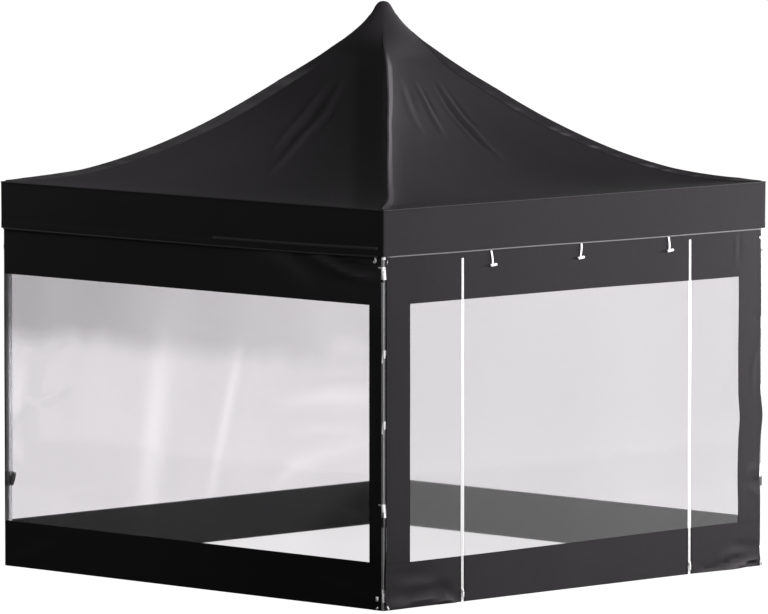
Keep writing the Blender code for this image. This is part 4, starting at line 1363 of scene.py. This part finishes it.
def make_door_wall(mats):
    """The door wall: two side panels, the door between two zips, three films, and their stitches."""
    outer, inner = ZIP_CENTRE + ZIP_WIDTH / 2, ZIP_CENTRE - ZIP_WIDTH / 2
    zs = steps([WALL_BOTTOM, WINDOW_BOTTOM - 0.009, WINDOW_BOTTOM, WINDOW_TOP, ZIP_TOP, WALL_TOP], 0.02)
    left, right = FRONT_WINDOW
    fold_lines = (0.004, 0.010, 0.016)
    panels = {
        "wall_front_left": ([-STRAP_GAP_END, left, -outer, -ZIP_CENTRE],
                            lambda x, z: not (x > -outer and z < ZIP_TOP)
                            and not (x > left and WINDOW_BOTTOM < z < WINDOW_TOP)),
        "wall_front_right": ([ZIP_CENTRE, outer, right, FRONT_RIGHT_END],
                             lambda x, z: not (x < outer and z < ZIP_TOP)
                             and not (x < right and WINDOW_BOTTOM < z < WINDOW_TOP)),
    }
    for name, (breaks, keep) in panels.items():
        beside = [math.copysign(outer + gap, breaks[0]) for gap in fold_lines]
        cloth = wall_piece(name, "front", steps(sorted(breaks + beside), 0.018), zs, mats["cloth"], keep)
        hang(cloth, f"{name}_cloth", breaks[1:3])
    top = wall_piece("door_top", "front", steps([-ZIP_CENTRE, -inner, inner, ZIP_CENTRE], 0.02),
                     steps([WINDOW_TOP, ZIP_TOP, WALL_TOP], 0.02), mats["cloth"],
                     lambda x, z: abs(x) < inner or z > ZIP_TOP)
    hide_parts("door_top_band")
    beside = [way * (inner - gap) for way in (-1, 1) for gap in fold_lines]
    low = wall_piece("door_bottom", "front", steps(sorted([-inner, inner] + beside), 0.02),
                     steps([WALL_BOTTOM, WINDOW_BOTTOM - 0.009, WINDOW_BOTTOM], 0.02), mats["cloth"])
    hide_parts("door_bottom_band")
    films = {
        "film_front_left": (left - FILM_LAP, -outer, "wall_front_left_window", "wall_front_left"),
        "film_door": (-inner, inner, "door_window", "door_top"),
        "film_front_right": (outer, right + FILM_LAP, "wall_front_right_window", "wall_front_right"),
    }
    fzs = steps([WINDOW_BOTTOM - FILM_LAP, WINDOW_TOP + FILM_LAP], 0.03)
    for name, (start, end, node, held_by) in films.items():
        film = wall_piece(name, "front", steps([start, end], 0.03), fzs, mats["film_door"], film=True)
        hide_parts(node)
    left, right = left - SEAM_GAP, right + SEAM_GAP
    lines = [level(z, start, end) for start, end in ((left, -outer), (-inner, inner), (outer, right))
             for z in (WINDOW_BOTTOM - SEAM_GAP, WINDOW_TOP + SEAM_GAP, WALL_BOTTOM + HEM)]
    lines += [upright(x, WINDOW_BOTTOM, WINDOW_TOP) for x in (left, right)]
    lines += [upright(x, 0.03, SEAM_TOP) for x in (-STRAP_GAP_END + HEM, FRONT_RIGHT_END - HEM)]
    lines += [upright(x, 0.015, ZIP_TOP) for x in (-outer - 0.006, -inner + 0.006, inner - 0.006, outer + 0.006)]
    sew_wall("front", lines, mats)


def make_zips(mats):
    """The white zip beside the door on each side: tape, teeth, slider and pull."""
    tree = teeth_tree()
    shape = bpy.context.scene.tent_shape
    for name, centre in (("left", -ZIP_CENTRE), ("right", ZIP_CENTRE)):
        half = ZIP_WIDTH / 2 + 0.003
        tape = wall_piece(f"zip_tape_{name}", "front", steps([centre - half, centre + half], 0.006),
                          steps([WALL_BOTTOM + 0.002, ZIP_TOP + 0.01], 0.02), mats["zip_tape"],
                          sizes=(FILM_DEPTH + 0.0002, 0.0009))
        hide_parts(f"door_zip_{name}")
        place = wall_place("front", WALL_DEPTH + 0.0004)
        line = [place(centre, z) for z in steps([WALL_BOTTOM + 0.012, ZIP_TOP], 0.02)]
        teeth = grown(f"zip_teeth_{name}", wire_mesh("chain", [line]), tree, mats["teeth"],
                      Pitch=shape.tooth_pitch)
        fastened(teeth, "zip_white")
        dressed(f"zip_slider_{name}", zip_slider(place(centre, 0.060)), mats["teeth"], "zip_white")


def zip_slider(at):
    """A slider body with a bridge, and its pull tab hanging from it."""
    bm = bmesh.new()
    for low, high in (((-0.0060, -0.0050, -0.009), (0.0060, 0.0015, 0.009)),
                      ((-0.0022, -0.0085, -0.006), (0.0022, -0.0045, 0.004)),
                      ((-0.0045, -0.0088, -0.034), (0.0045, -0.0070, -0.004))):
        low, high = Vector(low), Vector(high)
        bmesh.ops.create_cube(bm, size=1.0, matrix=Matrix.LocRotScale((low + high) / 2, None, high - low))
    bmesh.ops.bevel(bm, geom=list(bm.edges), offset=0.0008, segments=2, profile=0.5, affect="EDGES")
    bmesh.ops.translate(bm, vec=at, verts=bm.verts)
    mesh = bpy.data.meshes.new("slider")
    bm.to_mesh(mesh)
    bm.free()
    mesh.shade_smooth()
    return mesh


# White trims


def make_white_lines(mats):
    """The rope edge of the door wall, which shows just under the valance, and the plain dark piping of the other walls,
    with a second, wider tube of the piping's lighter colour along a fold of the valance's hem on those walls: the
    fold's shape with a painted highlight."""
    place = wall_place("front", WALL_DEPTH + 0.0030)
    line = [place(x, VALANCE_BOTTOM - 0.0048 + edge_wave(Vector((x, -1.5, 0))))
            for x in steps([-STRAP_GAP_END, FRONT_RIGHT_END], 0.03)]
    dressed("wall_rope_edge", tube_mesh("wall_rope_edge", line, 0.0042, 8), mats["rope"], "zip_white")
    tubes = []
    for side in ("right", "back", "left"):
        out = turned((0, -1, 0), side)
        # The second tube stands for a fold of the valance's hem; its piping colour, lighter than the cloth, is a
        # painted highlight
        for start, rise, radius, sunk in ((-1.475, -0.002, 0.0052, 0.0004), (0.20, 0.040, 0.0120, 0.0066)):
            hem = [turned((x, -ROOF_HALF, 0), side) for x in steps([start, 1.46], 0.03)]
            line = [p + out * (valance_move(p, VALANCE_BOTTOM + rise) - sunk)
                    + Vector((0, 0, VALANCE_BOTTOM + rise + edge_wave(p))) for p in hem]
            tubes.append(tube_mesh("piping", line, radius, 8))
    mesh = joined("wall_piping", tubes, 0)
    mesh.shade_smooth()
    dressed("wall_piping", mesh, mats["piping"], "polyester_cloth")


def make_toggles(mats):
    """Three toggles over the door that hold it when it is rolled up: a strap with a bar."""
    meshes = []
    place = wall_place("front", WALL_DEPTH + 0.0030)
    for centre, lean in ((-0.676, 0.012), (0.025, -0.010), (0.714, 0.008)):
        line = [place(centre + lean * t, 1.880 - 0.078 * t) + Vector((0, -0.004 * math.sin(math.pi * t), 0))
                for t in (0.0, 0.2, 0.4, 0.6, 0.8, 1.0)]
        meshes.append(ribbon_mesh("strap", line, [(1, 0, 0.12)] * 6, 0.012, 0.0014))
        bar = [line[-1] + Vector((d, -0.006, 0.1 * d)) for d in (-0.022, -0.02, -0.01, 0.0, 0.01, 0.02, 0.022)]
        meshes.append(tube_mesh("bar", bar, 0.0075, 10))
    dressed("door_toggles", joined("door_toggles", meshes, 0), mats["trim"], "zip_white")


def loop_round_leg(half, z, height, lean):
    """A webbing loop round a square tube at the origin, leaning to one side as it rises."""
    radius = 0.010
    path = []
    inner = half - radius
    for quarter in range(4):
        for k in range(4):
            angle = math.pi / 2 * (quarter + k / 3)
            corner = (
                inner * (1 if quarter in (0, 3) else -1), inner * (1 if quarter in (0, 1) else -1))
            path.append((corner[0] + radius * math.cos(angle), corner[1] + radius * math.sin(angle), z))
    path.append(path[0])
    wide = Vector((lean * 0.7, -lean * 0.7, 1.0))
    return ribbon_mesh("loop", path, [wide] * len(path), height, 0.0014)


def make_leg_straps(mats):
    """Webbing loops that tie the walls' corners to the legs, and the small hooks beside them."""
    meshes, hooks = [], []
    for name, turn in CORNERS.items():
        if name == "back_left":
            continue
        turned_round = Matrix.Rotation(math.radians(turn), 4, "Z")
        for z, half, height, lean in STRAPS:
            mesh = loop_round_leg(half, z, height, lean)
            mesh.transform(turned_round @ Matrix.Translation((-LEG_CENTRE - 0.0012, -LEG_CENTRE + 0.0012, 0)))
            meshes.append(mesh)
        out = -WALL_DEPTH - 0.005
        if name == "front_right":
            line = [turned_round @ Vector(p) for p in ((out, -1.474, 0.022), (out, -1.476, 0.008))]
            hooks.append(tube_mesh("hook", line, 0.0050, 8))
            continue
        for points, radius in (
            ([(out, -1.4400, 1.886), (out, -1.4400, 1.868), (out, -1.4370, 1.862), (out, -1.4320, 1.859),
              (out, -1.4260, 1.862)], 0.0068),
            ([(-1.4650, out, 1.872), (-1.4675, out, 1.860), (-1.4690, out, 1.850)], 0.0014),
            ([(out, -1.4510, 0.076), (out, -1.4510, 0.052)], 0.0080),
            ([(out, -1.4560, 0.020), (out, -1.4460, 0.008)], 0.0050),
            ([(-1.4680, out, 0.026), (-1.4640, out, 0.014), (-1.4590, out, 0.007)], 0.0055),
        ):
            line = [turned_round @ Vector(p) for p in points]
            hooks.append(tube_mesh("hook", line, radius, 8))
    dressed("leg_straps", joined("leg_straps", meshes, 0), mats["trim"], "zip_white")
    dressed("wall_hooks", joined("wall_hooks", hooks, 0), mats["teeth"], "zip_white")


# Frame


def finish_frame(mats):
    """Gives the frame's carried-over nodes their finish: aluminium for the legs, trusses, arms and mast, nylon for the
    locks, sliders, brackets, hubs and mast cap.
    """
    for name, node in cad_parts.items():
        metal = name.startswith(("leg_outer", "leg_inner", "truss_", "roof_arm_")) or name == "mast"
        plastic = name.startswith(("height_lock", "leg_slider", "top_bracket", "hub_", "mast_cap"))
        if not (metal or plastic):
            continue
        material = mats["aluminium"] if metal else mats["nylon"]
        for place in node.material_slots:
            place.material = material


def make_rivets(mats):
    """Rivet heads on the pivots of the trusses, arms and brackets."""
    points, ways = [], []

    def add(point, way, side):
        points.append(turned(point, side))
        ways.append(turned(way, side))

    leg = LEG_CENTRE - PIVOT_FROM_LEG
    face = 0.0095
    for side in SIDES:
        for x in (-leg, leg, -MIDDLE_PIVOT, MIDDLE_PIVOT):
            at_leg = abs(x) > 1.0
            for z, layer in ((UPPER_PIVOT, -LAYER_OFFSET if at_leg else LAYER_OFFSET),
                             (LOWER_PIVOT, LAYER_OFFSET if at_leg else -LAYER_OFFSET)):
                for way in (-1, 1):
                    reach = face + (0.0 if at_leg else 0.0015)
                    add((x, -LEG_CENTRE + layer + way * reach, z), (0, way, 0), side)
        middle = (leg + MIDDLE_PIVOT) / 2
        height = (UPPER_PIVOT + LOWER_PIVOT) / 2
        for x in (-middle, middle):
            for way in (-1, 1):
                add((x, -LEG_CENTRE + way * 0.0155, height), (0, way, 0), side)
        for y in (-LEG_CENTRE + PIVOT_FROM_LEG, -HUB_PIVOT):
            for z, layer in ((UPPER_PIVOT, -1 if y < -1 else 1), (LOWER_PIVOT, 1 if y < -1 else -1)):
                for way in (-1, 1):
                    add((layer * LAYER_OFFSET + way * face, y, z), (way, 0, 0), side)
    mesh = plain_mesh("rivet_points", points)
    facing = mesh.attributes.new("facing", "FLOAT_VECTOR", "POINT")
    for item, way in zip(facing.data, ways):
        item.vector = way
    fastened(grown("pivot_rivets", mesh, rivet_tree(), mats["zinc"]), "leg_aluminium")


# Stage


# Name, direction, distance, size, and the stage's setting for the strength, with a share of it
LIGHTS = [
    ("key", (0.655, -0.745, 0.125), 9.9, (3.0, 0.9), "key_strength", 1.0),
    ("near_key", (0.88, -0.47, 0.08), 6.5, (2.0, 0.9), "near_key_strength", 1.0),
    ("front", (0.0, -0.93, 0.36), 9.0, (3.0, 2.0), "front_strength", 1.0),
    ("right", (0.97, 0.10, 0.22), 8.0, (2.0, 2.0), "right_strength", 1.0),
    ("hip", (-0.05, -0.55, 0.83), 4.0, (1.0, 1.0), "hip_strength", 1.0),
    ("left", (-0.78, -0.32, 0.56), 6.0, (2.0, 2.0), "left_strength", 1.0),
    ("leg_glint", (-0.93, -0.12, 0.34), 8.0, (2.0, 2.0), "glint_strength", 1.0),
    ("rear", (-0.35, 0.80, 0.48), 4.5, (1.2, 1.2), "rear_strength", 1.0),
    ("far_corner", (-0.60, 0.62, 0.50), 4.2, (1.0, 1.0), "rear_strength", 0.75),
]
# Where the photo's camera stands, what it looks at, and its lens in millimetres
CAMERA_PLACE = (-34.1035, -34.1088, 5.6475)
CAMERA_AIM = (0.00265, -0.00265, 1.442)
CAMERA_LENS = 409.3


def make_stage():
    stage = bpy.context.scene.tent_stage
    mesh = plain_mesh("floor", [(-80, -80, 0), (80, -80, 0), (80, 80, 0), (-80, 80, 0)], [(0, 1, 2, 3)])
    floor = new_object("studio_floor", mesh, studio_floor(stage.floor_glow))
    floor.visible_diffuse = False
    floor.visible_glossy = False
    legs = bpy.data.collections.new("legs")
    for name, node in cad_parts.items():
        if name.startswith(("leg_outer", "leg_inner")):
            legs.objects.link(node)
    for name, direction, distance, size, setting_name, share in LIGHTS:
        light = add_light(name, direction, distance, size, getattr(stage, setting_name) * share)
        if name == "leg_glint":
            light.light_linking.receiver_collection = light.light_linking.blocker_collection = legs
    make_world(stage.shade)
    camera = bpy.data.objects.new("camera", bpy.data.cameras.new("camera"))
    bpy.context.scene.collection.objects.link(camera)
    camera.location = CAMERA_PLACE
    aim = Vector(CAMERA_AIM) - camera.location
    camera.rotation_euler = aim.to_track_quat("-Z", "Y").to_euler()
    camera.data.lens = CAMERA_LENS
    camera.data.sensor_width = 36.0
    camera.data.clip_start, camera.data.clip_end = 1.0, 500.0
    bpy.context.scene.camera = camera
    bpy.context.scene.view_settings.view_transform = "Standard"


def add_light(name, direction, distance, size, strength):
    """A soft rectangular light at a distance from the tent's middle, turned to it."""
    data = bpy.data.lights.new(name, "AREA")
    data.shape = "RECTANGLE"
    data.size, data.size_y = size
    data.energy = strength
    light = bpy.data.objects.new(name, data)
    bpy.context.scene.collection.objects.link(light)
    away = Vector(direction).normalized()
    light.location = Vector((0, 0, 1.3)) + away * distance
    light.rotation_euler = (-away).to_track_quat("-Z", "Y").to_euler()
    light.visible_camera = False
    return light


def make_world(shade):
    """White behind everything that is looked at or looked through, and a dim room on the rest,
    dimmer still in mirrored light."""
    world = bpy.data.worlds.new("studio")
    bpy.context.scene.world = world
    world.use_nodes = True
    tree = world.node_tree
    path = add_node(tree, "ShaderNodeLightPath")
    seen = add_node(
        tree, "ShaderNodeMath", None,
        {0: path.outputs["Is Camera Ray"], 1: path.outputs["Is Transmission Ray"]}, operation="MAXIMUM")
    mirrored = add_node(
        tree, "ShaderNodeMapRange", {"To Min": shade, "To Max": 0.28}, {"Value": path.outputs["Is Glossy Ray"]})
    strength = add_node(
        tree, "ShaderNodeMapRange", {"To Max": 1.05},
        {"Value": seen.outputs[0], "To Min": mirrored.outputs["Result"]})
    background = tree.nodes["Background"]
    background.inputs["Color"].default_value = (1.0, 1.0, 1.0, 1.0)
    tree.links.new(strength.outputs["Result"], background.inputs["Strength"])


# The add-on's operators and panel


MATERIALS = {}


def finishes():
    if not MATERIALS:
        MATERIALS.update(make_materials())
    return MATERIALS


class TENT_OT_roof(bpy.types.Operator):
    """Make the roof cover with its hip strips and seams"""

    bl_idname = "tent.roof"
    bl_label = "Roof Cover"

    def execute(self, context):
        mats = finishes()
        make_roof_cover(mats)
        make_mast_cap(mats)
        make_hip_strips(mats)
        make_patch_seam(mats)
        return {"FINISHED"}


class TENT_OT_valance(bpy.types.Operator):
    """Make the valance with its piping and hem"""

    bl_idname = "tent.valance"
    bl_label = "Valance"

    def execute(self, context):
        make_valance(finishes())
        return {"FINISHED"}


class TENT_OT_window_walls(bpy.types.Operator):
    """Make the left, back and right walls with their wide windows"""

    bl_idname = "tent.window_walls"
    bl_label = "Window Walls"

    def execute(self, context):
        mats = finishes()
        plain, hemmed = (-STRAP_GAP_END, STRAP_GAP_END), (-SIDE_BORDER_END, SIDE_BORDER_END)
        make_window_wall("right", plain, hemmed, mats)
        make_window_wall("left", (-WRAPPED_END, LEFT_WALL_END), (-HEM_END, hemmed[1]), mats)
        make_window_wall("back", (plain[0], WRAPPED_END), (hemmed[0], HEM_END), mats)
        return {"FINISHED"}


class TENT_OT_door_wall(bpy.types.Operator):
    """Make the front wall with its roll-up door and zips"""

    bl_idname = "tent.door_wall"
    bl_label = "Door Wall"

    def execute(self, context):
        mats = finishes()
        make_door_wall(mats)
        make_zips(mats)
        return {"FINISHED"}


class TENT_OT_trims(bpy.types.Operator):
    """Make the white rope edge, toggles, leg straps and hooks"""

    bl_idname = "tent.trims"
    bl_label = "White Trims"

    def execute(self, context):
        mats = finishes()
        make_white_lines(mats)
        make_toggles(mats)
        make_leg_straps(mats)
        return {"FINISHED"}


class TENT_OT_frame(bpy.types.Operator):
    """Finish the legs, trusses, brackets and mast"""

    bl_idname = "tent.frame"
    bl_label = "Frame"

    def execute(self, context):
        mats = finishes()
        finish_frame(mats)
        make_rivets(mats)
        return {"FINISHED"}


class TENT_OT_stage(bpy.types.Operator):
    """Set up the floor, the lights and the camera"""

    bl_idname = "tent.stage"
    bl_label = "Stage"

    def execute(self, context):
        make_stage()
        return {"FINISHED"}


OPERATORS = (
    TENT_OT_roof, TENT_OT_valance, TENT_OT_window_walls, TENT_OT_door_wall, TENT_OT_trims,
    TENT_OT_frame, TENT_OT_stage,
)
GROUPS = {"tent_shape": TentShape, "tent_colours": TentColours, "tent_stage": TentStage}


class TENT_PT_panel(bpy.types.Panel):
    """Lists the tent's pieces and settings"""

    bl_idname = "TENT_PT_panel"
    bl_label = "Party Tent"
    bl_space_type = "VIEW_3D"
    bl_region_type = "UI"
    bl_category = "Tent"

    def draw(self, context):
        for operator in OPERATORS:
            self.layout.operator(operator.bl_idname)
        for name in GROUPS:
            group = getattr(context.scene, name)
            box = self.layout.box()
            for key in group.__annotations__:
                box.prop(group, key)


def register():
    for kind in (*GROUPS.values(), *OPERATORS, TENT_PT_panel):
        bpy.utils.register_class(kind)
    for name, kind in GROUPS.items():
        setattr(bpy.types.Scene, name, PointerProperty(type=kind))


def unregister():
    for name in GROUPS:
        delattr(bpy.types.Scene, name)
    for kind in (TENT_PT_panel, *reversed(OPERATORS), *reversed(list(GROUPS.values()))):
        bpy.utils.unregister_class(kind)


def main():
    register()
    bpy.ops.tent.roof()
    bpy.ops.tent.valance()
    bpy.ops.tent.window_walls()
    bpy.ops.tent.door_wall()
    bpy.ops.tent.trims()
    bpy.ops.tent.frame()
    bpy.ops.tent.stage()


if __name__ == "__main__":
    main()
